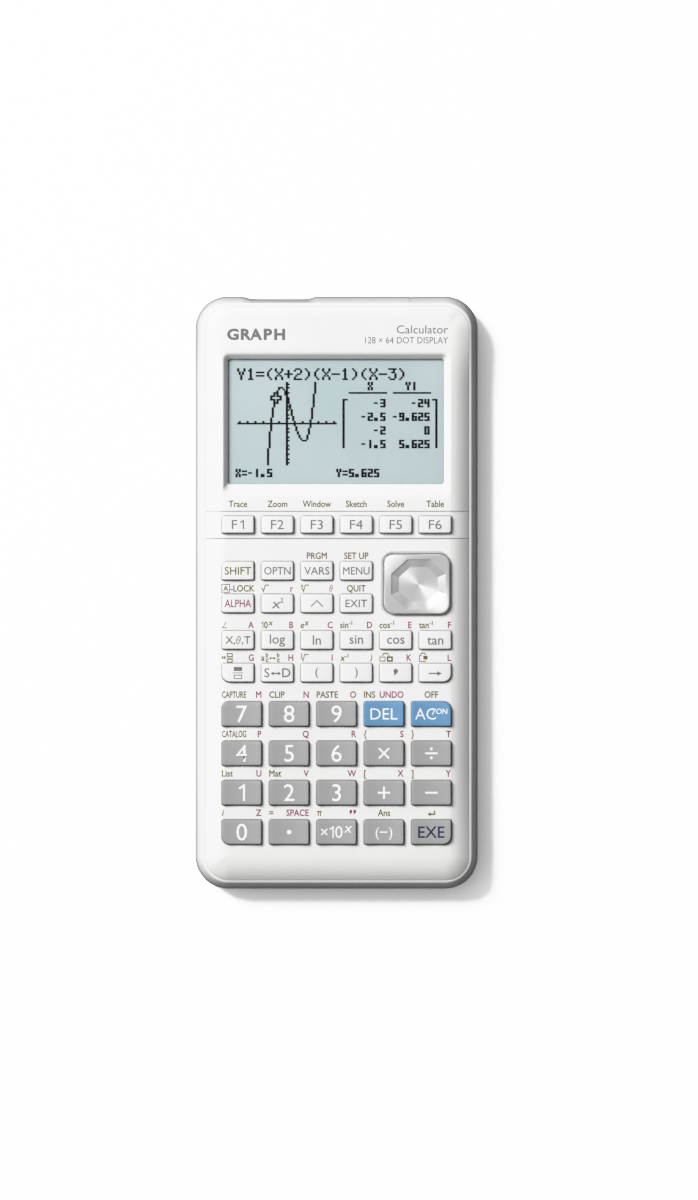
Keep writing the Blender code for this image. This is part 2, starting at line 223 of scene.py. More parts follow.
def rounded(half_x, half_y, radii, center=(0.0, 0.0), steps=5, between=(0, 0)):
    """Anticlockwise outline with its own radius at the lower right, upper right, upper
    left and lower left, and extra points on the upright and the level sides."""
    arcs = []
    for (side_x, side_y, start), radius in zip(CORNERS, radii):
        middle_x = center[0] + side_x * (half_x - radius)
        middle_y = center[1] + side_y * (half_y - radius)
        turns = [math.radians(start + 90 * i / steps) for i in range(steps + 1)]
        arcs.append(
            [(middle_x + radius * math.cos(a), middle_y + radius * math.sin(a)) for a in turns]
        )
    points = []
    for k, arc in enumerate(arcs):
        points += arc
        (x0, y0), (x1, y1) = arc[-1], arcs[(k + 1) % 4][0]
        count = between[k % 2]
        for i in range(count):
            share = (i + 1) / (count + 1)
            points.append((x0 + share * (x1 - x0), y0 + share * (y1 - y0)))
    return points


def spine(half_x, half_y, center, steps, between):
    """The line an outline of rounded() shrinks onto, point for point."""
    reach = max(half_x - half_y, 0.0)
    points = []
    for k in range(4):
        here = (1, 1, -1, -1)[k]
        there = (1, -1, -1, 1)[k]
        count = between[k % 2]
        shares = [0.0] * (steps + 1) + [(i + 1) / (count + 1) for i in range(count)]
        points += [(center[0] + reach * (here + s * (there - here)), center[1]) for s in shares]
    return points


def mix(outline, target, share):
    return [
        (x + share * (u - x), y + share * (v - y)) for (x, y), (u, v) in zip(outline, target)
    ]


def follow(outline, height):
    """A ring whose z comes from a height function."""
    return [(x, y, height(x, y)) for x, y in outline]


def ease(t):
    t = min(max(t, 0.0), 1.0)
    return t * t * (3 - 2 * t)


# ---------------------------------------------------------------- materials

BOUNCE_SHARE = 0.12
# Facing values over which the painted rim shade fades in, from none to full.
PAINTED_SHADE_FACING = (0.5, 0.92)


class Nodes:
    """A short way to build a node tree: nodes.add(type, inputs..., **settings)."""

    def __init__(self, tree):
        self.tree = tree
        tree.nodes.clear()

    def add(self, kind, inputs=(), **settings):
        node = self.tree.nodes.new("ShaderNode" + kind)
        for key, value in settings.items():
            setattr(node, key, value)
        for key, value in dict(inputs).items():
            socket = node.inputs[key]
            if isinstance(value, bpy.types.NodeSocket):
                self.tree.links.new(value, socket)
            else:
                socket.default_value = value
        return node

    def math(self, operation, a, b=0.0):
        return self.add("Math", {0: a, 1: b}, operation=operation).outputs[0]

    def vector(self, operation, a, b=(0, 0, 0)):
        return self.add("VectorMath", {0: a, 1: b}, operation=operation).outputs[0]

    def scaled(self, color, share):
        inputs = {0: color, "Scale": share}
        return self.add("VectorMath", inputs, operation="SCALE").outputs[0]

    def ramp(self, factor, low, high):
        """Mixes two colours."""
        node = self.add("Mix", {0: factor}, data_type="RGBA")
        for index, color in ((6, low), (7, high)):
            if isinstance(color, bpy.types.NodeSocket):
                self.tree.links.new(color, node.inputs[index])
            else:
                node.inputs[index].default_value = (*color, 1.0)
        return node.outputs[2]

    def noise(self, vector, scale, detail=3.0, roughness=0.5):
        inputs = {"Vector": vector, "Scale": scale, "Detail": detail, "Roughness": roughness}
        return self.add("TexNoise", inputs).outputs["Fac"]

    def bump(self, height, strength, distance):
        inputs = {"Height": height, "Strength": strength, "Distance": distance}
        return self.add("Bump", inputs).outputs[0]

    def spread(self, value, low=0.0, high=1.0):
        """Maps 0.3 to 0.7 of a noise onto low to high."""
        inputs = {"Value": value, 1: 0.3, 2: 0.7, 3: low, 4: high}
        return self.add("MapRange", inputs).outputs[0]

    def damp_bounce(self, color):
        """Darker to light bounced off other surfaces, so that crevices stay crisp."""
        ray = self.add("LightPath").outputs["Is Diffuse Ray"]
        return self.ramp(ray, color, self.scaled(color, BOUNCE_SHARE))

    def paint_rim_shade(self, color, share):
        """Painted shade: the colour darkens where the surface turns away from the eye, standing in
        for the shade on steep sides.
        """
        facing = self.add("LayerWeight", {"Blend": 0.5}).outputs["Facing"]
        inputs = {"Value": facing, 1: PAINTED_SHADE_FACING[0], 2: PAINTED_SHADE_FACING[1], 3: 1.0, 4: share}
        return self.scaled(color, self.add("MapRange", inputs).outputs[0])

    def mix_shaders(self, share, first, second):
        inputs = {0: share, 1: first.outputs[0], 2: second.outputs[0]}
        return self.add("MixShader", inputs)

    def close(self, shader):
        self.add("OutputMaterial", {"Surface": shader.outputs[0]})

    def principled(self, color, roughness, **more):
        inputs = {"Base Color": color, "Roughness": roughness}
        inputs.update({key.replace("_", " "): value for key, value in more.items()})
        self.close(self.add("BsdfPrincipled", inputs))


def make_material(name, build, *args, **options):
    """A node material; build gets its nodes and the object's coordinates."""
    material = bpy.data.materials.new(name)
    material.use_nodes = True
    nodes = Nodes(material.node_tree)
    build(nodes, nodes.add("TexCoord").outputs["Object"], *args, **options)
    return material


def shade(color):
    """Linear light from an sRGB level, or from three of them, out of 255."""
    levels = color if isinstance(color, tuple) else (color,) * 3
    linear = []
    for level in levels:
        share = level / 255
        linear.append(share / 12.92 if share <= 0.04045 else ((share + 0.055) / 1.055) ** 2.4)
    return tuple(linear)


def moulded(nodes, place, color, roughness, grain=0.02, grain_scale=9000.0, rim=1.0):
    """Moulded plastic or rubber: fine spark grain, faint cloudiness, uneven gloss; rim is how dark
    the painted shade gets where the surface turns away from the eye.
    """
    cloud = nodes.noise(place, 35.0, 2.0)
    fine = nodes.noise(place, grain_scale, 2.0, 0.6)
    low = tuple(c * 0.98 for c in color)
    high = tuple(min(c * 1.02, 1.0) for c in color)
    nodes.principled(
        nodes.damp_bounce(nodes.paint_rim_shade(nodes.ramp(nodes.spread(cloud), low, high), rim)),
        nodes.spread(fine, roughness - 0.04, roughness + 0.06),
        Normal=nodes.bump(fine, grain * 10, 0.00001),
        IOR=1.49,
    )


def printed_ink(nodes, place, color, roughness=0.5, gloss=0.5):
    """Screen-printed ink, slightly uneven in density."""
    speck = nodes.noise(place, 14000.0, 1.0)
    faded = tuple(min(c * 1.12 + 0.004, 1.0) for c in color)
    uneven = nodes.ramp(nodes.spread(speck), color, faded)
    nodes.principled(uneven, roughness, Specular_IOR_Level=gloss)


def spun_silver(nodes, place, center):
    """Silver paint over turned metal: grooves run round the pad's centre."""
    around = nodes.vector("SUBTRACT", place, [MM * c for c in center] + [0.0])
    flat = nodes.vector("MULTIPLY", around, (1, 1, 0))
    radius = nodes.add("VectorMath", {0: flat}, operation="LENGTH").outputs["Value"]
    rings = nodes.noise(nodes.add("CombineXYZ", {0: radius}).outputs[0], 9000.0, 2.0, 0.7)
    nodes.principled(
        nodes.ramp(nodes.spread(rings), (0.70, 0.70, 0.705), (0.82, 0.82, 0.825)),
        nodes.spread(rings, 0.34, 0.42),
        Metallic=0.5,
        Anisotropic=0.7,
        Tangent=nodes.vector("NORMALIZE", flat),
        Normal=nodes.bump(rings, 0.08, 0.00002),
    )


def metal(nodes, place, color, roughness):
    """Plated or brushed metal with streaks along X."""
    stretched = nodes.vector("MULTIPLY", place, (1.0, 40.0, 40.0))
    lines = nodes.noise(stretched, 400.0, 3.0, 0.6)
    dull = tuple(c * 0.88 for c in color)
    nodes.principled(
        nodes.ramp(nodes.spread(lines), dull, color),
        nodes.spread(lines, roughness - 0.05, roughness + 0.1),
        Metallic=1.0,
        Normal=nodes.bump(lines, 0.1, 0.00002),
    )


def clear_plate(nodes, place):
    """The window: light goes straight through, with a little Fresnel gloss on top."""
    haze = nodes.noise(place, 60.0, 2.0)
    through = nodes.add("BsdfTransparent", {"Color": (0.97, 0.985, 0.985, 1.0)})
    gloss = nodes.add("BsdfGlossy", {"Roughness": nodes.spread(haze, 0.04, 0.09)})
    fresnel = nodes.add("Fresnel", {"IOR": 1.25}).outputs[0]
    nodes.close(nodes.mix_shaders(nodes.math("MULTIPLY", fresnel, 0.7), through, gloss))


def display_glass(nodes, place):
    """The panel's grey-green reflector: cloudy, and uneven in gloss."""
    cloud = nodes.noise(place, 45.0, 3.0)
    fine = nodes.noise(place, 5000.0, 1.0)
    color = nodes.ramp(nodes.spread(cloud), shade((194, 206, 208)), shade((202, 210, 213)))
    nodes.principled(color, nodes.spread(fine, 0.55, 0.7), Specular_IOR_Level=0.2)


def circuit_board(nodes, place):
    """Green solder mask with paler copper lands showing through in a grid."""
    inputs = {"Vector": place, "Scale": 260.0, "Mortar Size": 0.012}
    inputs["Color1"] = (*shade((24, 96, 58)), 1)
    inputs["Color2"] = (*shade((30, 112, 66)), 1)
    inputs["Mortar"] = (*shade((74, 140, 74)), 1)
    brick = nodes.add("TexBrick", inputs)
    bump = nodes.bump(brick.outputs["Fac"], 0.3, 0.00003)
    nodes.principled(brick.outputs["Color"], 0.35, Normal=bump)


def cell_jacket(nodes, place):
    """A printed foil sleeve: dark body with a copper band towards the positive end."""
    y = nodes.add("SeparateXYZ", {0: place}).outputs[1]
    scuffs = nodes.noise(place, 900.0, 4.0, 0.6)
    dark = nodes.ramp(nodes.spread(scuffs), shade((38, 42, 48)), shade((50, 54, 60)))
    copper = nodes.ramp(nodes.spread(scuffs), shade((178, 122, 72)), shade((196, 140, 88)))
    mixed = nodes.ramp(nodes.math("GREATER_THAN", y, 0.028), dark, copper)
    nodes.principled(mixed, nodes.spread(scuffs, 0.25, 0.4), Metallic=0.5)


# Name of the finish: (name of the material, its builder, the builder's arguments).
RECIPES = {
    # The last number of a moulded finish, where given, is how dark its painted rim shade gets.
    "face": ("face_plastic", moulded, (0.87, 0.87, 0.862), 0.42, 0.02, 9000.0, 0.44),
    "rear": ("rear_plastic", moulded, (0.80, 0.80, 0.79), 0.5, 0.06, 3500.0),
    "white_key": ("white_key", moulded, (0.86, 0.86, 0.855), 0.42, 0.02, 9000.0, 0.75),
    "grey_key": ("grey_key", moulded, shade(169), 0.42, 0.02, 9000.0, 0.6),
    "blue_key": ("blue_key", moulded, shade((103, 154, 196)), 0.40),
    "silver": ("silver_paint", spun_silver, (24.2, 2.5)),
    "window": ("clear_window", clear_plate),
    "display": ("display_glass", display_glass),
    "board": ("circuit_board", circuit_board),
    "rubber": ("key_rubber", moulded, shade(150), 0.75, 0.08, 2500.0),
    "foot": ("foot_rubber", moulded, shade(120), 0.8, 0.1, 2500.0),
    "jacket": ("cell_jacket", cell_jacket),
    "steel": ("port_steel", metal, shade((196, 197, 200)), 0.3),
    "zinc": ("screw_zinc", metal, shade((150, 152, 156)), 0.35),
    "dark": ("dark_plastic", moulded, shade(48), 0.5),
    "lcd_ink": ("lcd_ink", printed_ink, shade((12, 16, 20)), 0.9, 0.05),
    "grey_ink": ("grey_ink", printed_ink, shade(112)),
    "white_ink": ("white_ink", printed_ink, shade(252)),
    "gold_ink": ("gold_ink", printed_ink, shade((102, 91, 28))),
    "pink_ink": ("pink_ink", printed_ink, shade((140, 56, 94))),
    "navy_ink": ("navy_ink", printed_ink, shade((26, 48, 78)), 0.7, 0.2),
}
MATERIALS = {finish: make_material(*recipe) for finish, recipe in RECIPES.items()}
# Finishes whose colour slot in the frame isn't called after their material.
SLOTS = {finish: "print_ink" for finish in RECIPES if finish.endswith("_ink")}
SLOTS.update({"foot": "key_rubber", "zinc": "port_steel"})

# ---------------------------------------------------------------- case outline and face

FACE_INSET = 2.82
SHIFT_X = {-1: (-0.2, 0.25), 1: (0.08, 0.25)}
SHIFT_Y = {-1: (0.0, -0.1), 1: (0.2, -0.35)}
PROFILE_EDGE_Z = 15.28
EDGE_Z = 14.0
EDGE_TOP_Z = 16.3
EDGE_RISE_Y = (58.0, 86.0)
EDGE_BOTTOM_Z = 14.6
EDGE_BOTTOM_Y = (-50.0, -84.0)
CROWN_SIDE = 6.0
CROWN_TOP = 2.5
CROWN_BOTTOM = 12.0
CROWN_POWER = 2.0
CROWN_BOTTOM_POWER = 4.0
DENT_LEFT = (-28.2, -24.5)
DENT_RIGHT = (-8.6, -5.7)
DENT_DEPTH = 0.71
NOTCH_X = 21.9
NOTCH_HALF = 0.9
NOTCH_DEPTH = 0.2
BAND_Y = (16.0, 24.1)
BAND_DEPTH = 0.36
CORNER_STEPS = 14
SIDE_STOPS = (
    -73.0, -68.0, -62.0, -56.0, -50.0, 0.0, 20.0, 40.0, 58.0, 61.0, 64.0, 67.0, 70.0, 73.0
)

FRONT_INSIDE = ((4.4, -0.9), (3.0, -1.9))
# (inset, height) up the side, from the parting line to the edge of the face.
FRONT_OUTSIDE = (
    (0.12, PARTING_TOP), (0.0, PARTING_TOP + 0.12), (0.08, 8.6), (0.18, 9.6), (0.28, 10.3),
    (0.42, 11.0), (0.62, 11.8), (0.94, 12.65), (1.34, 13.55), (1.70, 14.32), (1.92, 14.72),
    (2.04, 14.84), (2.18, 14.93), (2.36, 15.02), (2.54, 15.08), (2.64, 15.06), (2.72, 15.05),
    (2.78, 15.14),
)
EDGE_GROOVE = 0.13
EDGE_GROOVE_INSETS = (2.3, 2.8)
FACE_STEPS = (
    0.0, 0.12, 0.3, 0.55, 0.85, 1.2, 1.6, 2.1, 2.7, 3.4, 4.2, 5.3, 6.3, 7.4, 8.8, 10.2, 12.0
)


def top_stops():
    """Where the top edge needs points for the dent and the notch, from right to left."""
    stops = [NOTCH_X + NOTCH_HALF * t for t in (1, 0.5, 0, -0.5, -1)]
    stops += [-4.5 - 0.6 * i for i in range(42)]
    return [30.0] + stops + [-31.0]


def dent(x):
    """How far the top edge steps in at x."""
    left = ease((x - DENT_LEFT[0]) / (DENT_LEFT[1] - DENT_LEFT[0]))
    right = ease((DENT_RIGHT[1] - x) / (DENT_RIGHT[1] - DENT_RIGHT[0]))
    notch = ease(1 - abs(x - NOTCH_X) / NOTCH_HALF)
    return DENT_DEPTH * left * right + NOTCH_DEPTH * notch


def shifted(x, y, inset):
    """A point of the outline, moved by its side's own amounts outside and at the face."""
    share = min(inset / FACE_INSET, 1.0)
    out_x, in_x = SHIFT_X[1 if x > 0 else -1]
    out_y, in_y = SHIFT_Y[1 if y > 0 else -1]
    return x + out_x + share * (in_x - out_x), y + out_y + share * (in_y - out_y)


def case_outline(inset, dented=1.0):
    """The points of the inset outline."""
    radius = max(CORNER - inset, 1.0)
    center_x = HALF_W - inset - radius
    center_y = HALF_L - inset - radius
    shrink = center_x / (HALF_W - CORNER)
    points = []
    for side_x, side_y, start in CORNERS:
        for i in range(CORNER_STEPS + 1):
            turn = math.radians(start + 90 * i / CORNER_STEPS)
            x = side_x * center_x + radius * math.cos(turn)
            y = side_y * center_y + radius * math.sin(turn)
            points.append(shifted(x, y, inset))
        if (side_x, side_y) == (1, 1):
            for stop in top_stops():
                y = center_y + radius - dented * dent(stop)
                points.append(shifted(stop * shrink, y, inset))
        elif side_x != side_y:
            shrink_y = center_y / (HALF_L - CORNER)
            for stop in sorted(SIDE_STOPS, reverse=side_x < 0):
                points.append(shifted(side_x * (center_x + radius), stop * shrink_y, inset))
    return points


def case_ring(inset, z, dented=0.0):
    return [(x, y, z) for x, y in case_outline(inset, dented)]


def edge_z(y):
    """The height of the face's edge, which rises at the top and bottom of the case."""
    rise = EDGE_Z
    for level, (start, end) in ((EDGE_TOP_Z, EDGE_RISE_Y), (EDGE_BOTTOM_Z, EDGE_BOTTOM_Y)):
        rise += (level - EDGE_Z) * ease((y - start) / (end - start))
    return rise


def edge_groove(inset, x, y):
    """The depth of the fine groove beside the face's edge, along the left and the top."""
    start, end = EDGE_GROOVE_INSETS
    share = min(max((inset - start) / (end - start), 0.0), 1.0)
    beyond = max(-x - (HALF_W - CORNER), y - (HALF_L - CORNER)) / CORNER
    return EDGE_GROOVE * math.sin(math.pi * share) * ease(2 * beyond)


def side_ring(inset, z, dented=0.0):
    """A ring of the side band, stretched so that it meets the face's edge."""
    reach = (z - PARTING_TOP) / (PROFILE_EDGE_Z - PARTING_TOP)
    ring = []
    for x, y in case_outline(inset, dented):
        level = PARTING_TOP + reach * (edge_z(y) - PARTING_TOP)
        ring.append((x, y, level - edge_groove(inset, x, y)))
    return ring


def fall_share(x, y, top):
    """How much of its fall the face has made at a distance from the case's middle."""
    fall, power = (CROWN_TOP, CROWN_POWER) if top else (CROWN_BOTTOM, CROWN_BOTTOM_POWER)
    wide = max(0.0, 1 - (HALF_W - FACE_INSET - x) / CROWN_SIDE) ** CROWN_POWER
    tall = max(0.0, 1 - (HALF_L - FACE_INSET - y) / fall) ** power
    return math.hypot(wide, tall)


def crown(x, y):
    """The face's height: it falls towards its edges, most gently at the bottom."""
    top = y > 0
    level = edge_z(y)
    x, y = abs(x - SHIFT_X[1][1]), abs(y - SHIFT_Y[1 if top else -1][1])
    share = fall_share(x, y, top)
    corner_x, corner_y = HALF_W - CORNER, HALF_L - CORNER
    if x > corner_x and y > corner_y:
        reach = math.hypot(x - corner_x, y - corner_y)
        radius = CORNER - FACE_INSET
        way_x, way_y = (x - corner_x) / reach, (y - corner_y) / reach
        missing = 1 - fall_share(corner_x + radius * way_x, corner_y + radius * way_y, top)
        share += missing * (reach / radius) ** 2
    return FACE_Z - (FACE_Z - level) * min(share, 1.0)


def face_ring(reach):
    """The face's ring a given way in from its edge."""
    return [(x, y, crown(x, y)) for x, y in case_outline(FACE_INSET + reach, 0.0)]


def face_z(x, y=0.0):
    """The face's height, which is lower in the band of the function keys."""
    return crown(x, y) - (BAND_DEPTH if BAND_Y[0] < y < BAND_Y[1] else 0.0)


# ---------------------------------------------------------------- front case

KEY_FLANGE = 0.6
KEY_HOLE_CLEAR = 0.07
KEY_HOLE_SHIFT = (0.05, -0.05)
PAD_HOLE_CLEAR = 0.18
PAD_FLANGE = 0.6
PAD_CORNER = 2.9
PAD_SHIFT = (-0.2, 0.15)
BEZEL_X = (-33.55, 33.3)
BEZEL_Y = (29.1, 70.8)
VIEW_X = (-32.2, 31.8)
VIEW_Y = (32.1, 69.2)
BEZEL_FOOT_Z = 15.0
LIP_X = (-34.3, 34.3)
LIP_Y = (27.9, 71.5)
LIP_Z = (14.8, 16.3)
# (share of the way out from the window, height) down the display's funnel.
BEZEL_PROFILE = (
    (0.0, LIP_Z[0] - 0.5), (0.0, BEZEL_FOOT_Z), (0.06, FACE_Z - 1.80), (0.35, FACE_Z - 1.22),
    (0.7, FACE_Z - 0.52), (0.82, FACE_Z - 0.34), (0.95, FACE_Z - 0.21), (1.1, FACE_Z - 0.11),
    (1.3, FACE_Z - 0.04), (1.6, FACE_Z), (1.7, FACE_Z + 1),
)
PORT_CUT_Y = (80.0, 90.0)

SCREWS_XY = [(side * 36.4, y) for y in (-78.5, 14.6, 78.0) for side in (-1, 1)]

BIG_CORNERS = {
    "key_f1": (0.5, 0.5, 1.0, 0.5),
    "key_shift": (0.6, 0.6, 1.9, 0.6),
    "key_fraction": (0.6, 0.6, 0.6, 2.5),
    "key_store": (2.5, 0.6, 0.6, 0.6),
    "key_7": (0.6, 0.6, 2.0, 0.6),
    "key_ac": (0.6, 2.5, 0.6, 0.6),
    "key_0": (0.6, 0.6, 0.6, 2.5),
    "key_exe": (2.5, 0.6, 0.6, 0.6),
    "key_f6": (1.0, 0.5, 0.5, 0.5),
}
KEY_NODES = sorted(n for n in frame["nodes"] if n.startswith("key_") and n != "key_sheet")


def cap_plan(node, flange):
    """(centre, half size, lowest z, highest z) of a node without its flange."""
    (x0, y0, z0), (x1, y1, z1) = node_box(node)
    half = ((x1 - x0) / 2 - flange, (y1 - y0) / 2 - flange)
    return ((x0 + x1) / 2, (y0 + y1) / 2), half, z0, z1


def key_plan(name):
    """(centre, half size, corner radii, height of the top) of a key's cap."""
    center, half, _, top = cap_plan(name, KEY_FLANGE)
    return center, half, BIG_CORNERS.get(name, (0.75,) * 4), top


def key_hole(name):
    """A cutter with a softly rounded lip where it leaves the face."""
    center, half, radii, _ = key_plan(name)
    center = tuple(c + s for c, s in zip(center, KEY_HOLE_SHIFT))
    lip = ((0.0, 0.14), (0.02, 0.07), (0.05, 0.02), (0.1, 0.0), (0.3, -0.05))
    level = face_z(center[0], center[1])
    rings = []
    for grow, depth in ((0.0, 3.0),) + lip:
        out = grow + KEY_HOLE_CLEAR
        spread = tuple(r + out for r in radii)
        outline = rounded(half[0] + out, half[1] + out, spread, center)
        if depth > 1:
            rings.append(ring_at(outline, FACE_Z - depth))
        else:
            rings.append([(x, y, min(face_z(x, center[1]), level) - depth) for x, y in outline])
    last = [(x, y, FACE_Z + 1) for x, y, _ in rings[-1]]
    return rings + [last]


def pad_plan():
    center, half, low, high = cap_plan("cursor_pad", PAD_FLANGE)
    return center, half, (low, high)


PAD_HOLE_LIP = (
    (0.0, 14.5), (0.0, 16.2), (0.08, 16.4), (0.5, 16.8), (0.7, 16.95), (0.95, 17.0), (1.2, 18.0)
)


def pad_hole():
    center, half, _ = pad_plan()
    rings = []
    for grow, z in PAD_HOLE_LIP:
        out = PAD_HOLE_CLEAR + grow
        middle = [c + s for c, s in zip(center, PAD_SHIFT)]
        outline = rounded(half[0] + out, half[1] + out, (PAD_CORNER + out,) * 4, middle, steps=10)
        rings.append(ring_at(outline, z))
    return rings


def display_hole():
    """A funnel from the face down to the window, steeper at the left and the top."""
    sides = ((VIEW_X, BEZEL_X), (VIEW_Y, BEZEL_Y))
    rings = []
    for share, z in BEZEL_PROFILE:
        (x0, x1), (y0, y1) = [
            [a + share * (b - a) for a, b in zip(small, large)] for small, large in sides
        ]
        radius = 0.8 + 1.1 * share
        half = ((x1 - x0) / 2, (y1 - y0) / 2)
        center = ((x0 + x1) / 2, (y0 + y1) / 2)
        rings.append(ring_at(rounded(*half, (radius,) * 4, center, steps=6), z))
    return rings


BAND_WALL = 0.13
BAND_GROOVE = 0.25
BAND_GROOVE_WIDTH = 0.22
BAND_LINE = 0.3
BAND_RISE = 5.0
FRONT_BOSS_Z = (8.1, 14.7)


def band_cutter():
    """Lowers the face across the function keys between two fine grooves; near its ends
    the lowered part comes up to the face and only the grooves run on."""
    reach = HALF_W - FACE_INSET - 0.1
    bends = [reach - 6.0 * i / 16 for i in range(17)]
    stations = sorted({round(side * x, 4) for x in bends for side in (-1, 1)})
    low, high = BAND_Y
    rings = []
    for x in stations:
        depth = 0.03 + (BAND_DEPTH - 0.03) * ease((reach - abs(x)) / BAND_RISE)
        x += SHIFT_X[1][1]
        face = crown(x, 0.0)
        over = face + 0.04
        rings.append(
            [
                (x, low + BAND_GROOVE_WIDTH, face - depth),
                (x, high - BAND_GROOVE_WIDTH, face - depth),
                (x, high - 0.02, face - max(depth + 0.01, BAND_LINE)),
                (x, high + BAND_WALL, over),
                (x, high + BAND_WALL, FACE_Z + 2),
                (x, low - BAND_WALL, FACE_Z + 2),
                (x, low - BAND_WALL, over),
                (x, low, face - depth - BAND_GROOVE),
            ]
        )
    return rings


def port_cutter():
    (x0, _, z0), (x1, _, z1) = node_box("data_port")
    half = ((x1 - x0) / 2 + GAP, (z1 - z0) / 2 + GAP)
    outline = rounded(*half, (0.8,) * 4, ((x0 + x1) / 2, (z0 + z1) / 2), steps=4)
    return [[(x, y, z) for x, z in outline] for y in PORT_CUT_Y]


def make_front_case():
    rings = [case_ring(6.2, WALL_UNDER_FACE_Z)]
    for inset, drop in FRONT_INSIDE:
        rings.append([(x, y, edge_z(y) + drop) for x, y in case_outline(inset, 0.0)])
    rings.append(case_ring(1.8, PARTING_TOP))
    for inset, z in FRONT_OUTSIDE:
        rings.append(side_ring(inset, z, 1 - ease(inset / 2.0)))
    rings += [face_ring(reach) for reach in FACE_STEPS]
    shell = lofts_bmesh([rings])
    bmesh.ops.triangulate(shell, faces=shell.faces)
    front = new_piece("front_shell", shell, "face", replaces=["front_case"])
    carve(front, "UNION", [prism(rectangle(LIP_X, LIP_Y), LIP_Z)])
    carve(front, "DIFFERENCE", [band_cutter()])
    holes = [key_hole(name) for name in KEY_NODES]
    carve(front, "DIFFERENCE", holes + [pad_hole(), display_hole()])
    carve(front, "DIFFERENCE", [port_cutter()])
    carve(front, "UNION", [prism(circle(1.6, xy, 24), FRONT_BOSS_Z) for xy in SCREWS_XY])
    pilots = (PARTING_TOP - 1, FRONT_BOSS_Z[1] - 1.5)
    carve(front, "DIFFERENCE", [prism(circle(0.9, xy, 16), pilots) for xy in SCREWS_XY])
    weigh_normals(front, 32)


# ---------------------------------------------------------------- keys

KEY_BEVEL = 0.2
KEY_DRAFT = 0.27
GREY_DISH = 0.42
WHITE_CROWN = 0.22
BLUE_KEYS = ("key_del", "key_ac")


def is_large(name):
    return key_plan(name)[1][0] > 5.5


def key_top(name):
    """The height function of a key's top: large keys are dished, small ones crowned."""
    center, half, _, top = key_plan(name)

    def height(x, y):
        across = min(((x - center[0]) / half[0]) ** 2, 1.0)
        return top - (GREY_DISH * (1 - across) if is_large(name) else WHITE_CROWN * across)

    return height


def make_key(name):
    center, half, radii, top = key_plan(name)
    (_, _, foot), _ = node_box(name)
    flange_top = WALL_UNDER_FACE_Z - GAP
    steps, between = 5, (2, 7)
    height = key_top(name)

    def outline(grow):
        fitted = tuple(max(r + grow, 0.12) for r in radii)
        return rounded(half[0] + grow, half[1] + grow, fitted, center, steps, between)

    rings = [ring_at(outline(KEY_FLANGE), foot), ring_at(outline(KEY_FLANGE), flange_top)]
    rings += [ring_at(outline(0.0), flange_top), ring_at(outline(0.0), top - 1.3)]
    rings.append(ring_at(outline(-0.05), top - 1.1))
    for turn in (0, 22, 45, 68, 90):
        angle = math.radians(turn)
        inward = KEY_DRAFT + KEY_BEVEL * (1 - math.cos(angle))
        drop = KEY_BEVEL * (1 - math.sin(angle))
        rings.append([(x, y, height(x, y) - drop) for x, y in outline(-inward)])
    inner = outline(-KEY_DRAFT - KEY_BEVEL)
    line = spine(half[0] - 0.7, half[1] - 0.7, center, steps, between)
    rings += [follow(mix(inner, line, share), height) for share in (0.3, 0.65, 1.0)]
    finish = "white_key"
    if name in BLUE_KEYS:
        finish = "blue_key"
    elif is_large(name):
        finish = "grey_key"
    cap = name.replace("key_", "cap_")
    lofted(cap, [rings], finish, body=name, replaces=[name], angle=35)


# ---------------------------------------------------------------- flat shapes and text

text_cache = {}
FONT_CAP = 0.7


def swell(bm, amount):
    """Moves the outline of a flat mesh outwards, with mitred corners."""
    sides = {}
    for edge in bm.edges:
        if len(edge.link_faces) != 1:
            continue
        start, end = [v.co for v in edge.verts]
        side = Vector((end.y - start.y, start.x - end.x, 0)).normalized()
        if side.dot(edge.link_faces[0].calc_center_median() - start) > 0:
            side = -side
        for vert in edge.verts:
            sides.setdefault(vert, []).append(side)
    for vert, found in sides.items():
        total = sum(found, Vector((0, 0, 0)))
        if total.length > 0.3:
            normal = total.normalized()
            vert.co += normal * amount / max(normal.dot(found[0]), 0.5)


def text_outline(text, weight):
    """Flat (points, faces) of a text in the built-in font."""
    curve = bpy.data.curves.new("text", "FONT")
    curve.body = text
    curve.resolution_u = 3
    obj = bpy.data.objects.new("text", curve)
    bpy.context.scene.collection.objects.link(obj)
    graph = bpy.context.evaluated_depsgraph_get()
    mesh = bpy.data.meshes.new_from_object(obj.evaluated_get(graph))
    bm = bmesh.new()
    bm.from_mesh(mesh)
    bmesh.ops.remove_doubles(bm, verts=bm.verts, dist=1e-5)
    swell(bm, weight * FONT_CAP)
    bm.verts.ensure_lookup_table()
    points = [(v.co.x, v.co.y) for v in bm.verts]
    faces = []
    for face in bm.faces:
        loop = [v.index for v in face.verts]
        faces.append(loop if face.normal.z > 0 else loop[::-1])
    bm.free()
    bpy.data.objects.remove(obj)
    bpy.data.meshes.remove(mesh)
    return points, faces


def cached_outline(text, weight):
    key = (text, weight)
    if key not in text_cache:
        text_cache[key] = text_outline(text, weight)
    return text_cache[key]


def text_shape(text, weight=0.0):
    """A text whose capitals are 1 high."""
    cap = max(y for _, y in cached_outline("H", 0.0)[0])
    points, faces = cached_outline(text, weight)
    return [(x / cap, y / cap) for x, y in points], faces


def joined(*shapes):
    points, faces = [], []
    for more_points, more_faces in shapes:
        start = len(points)
        points += more_points
        faces += [[start + i for i in face] for face in more_faces]
    return points, faces


def moved(shape, scale=1.0, shift=(0.0, 0.0), slant=0.0, squeeze=1.0):
    points, faces = shape
    placed = [
        (shift[0] + scale * squeeze * (x + slant * y), shift[1] + scale * y) for x, y in points
    ]
    return placed, faces


def span(shape):
    xs = [x for x, _ in shape[0]]
    return min(xs), max(xs)


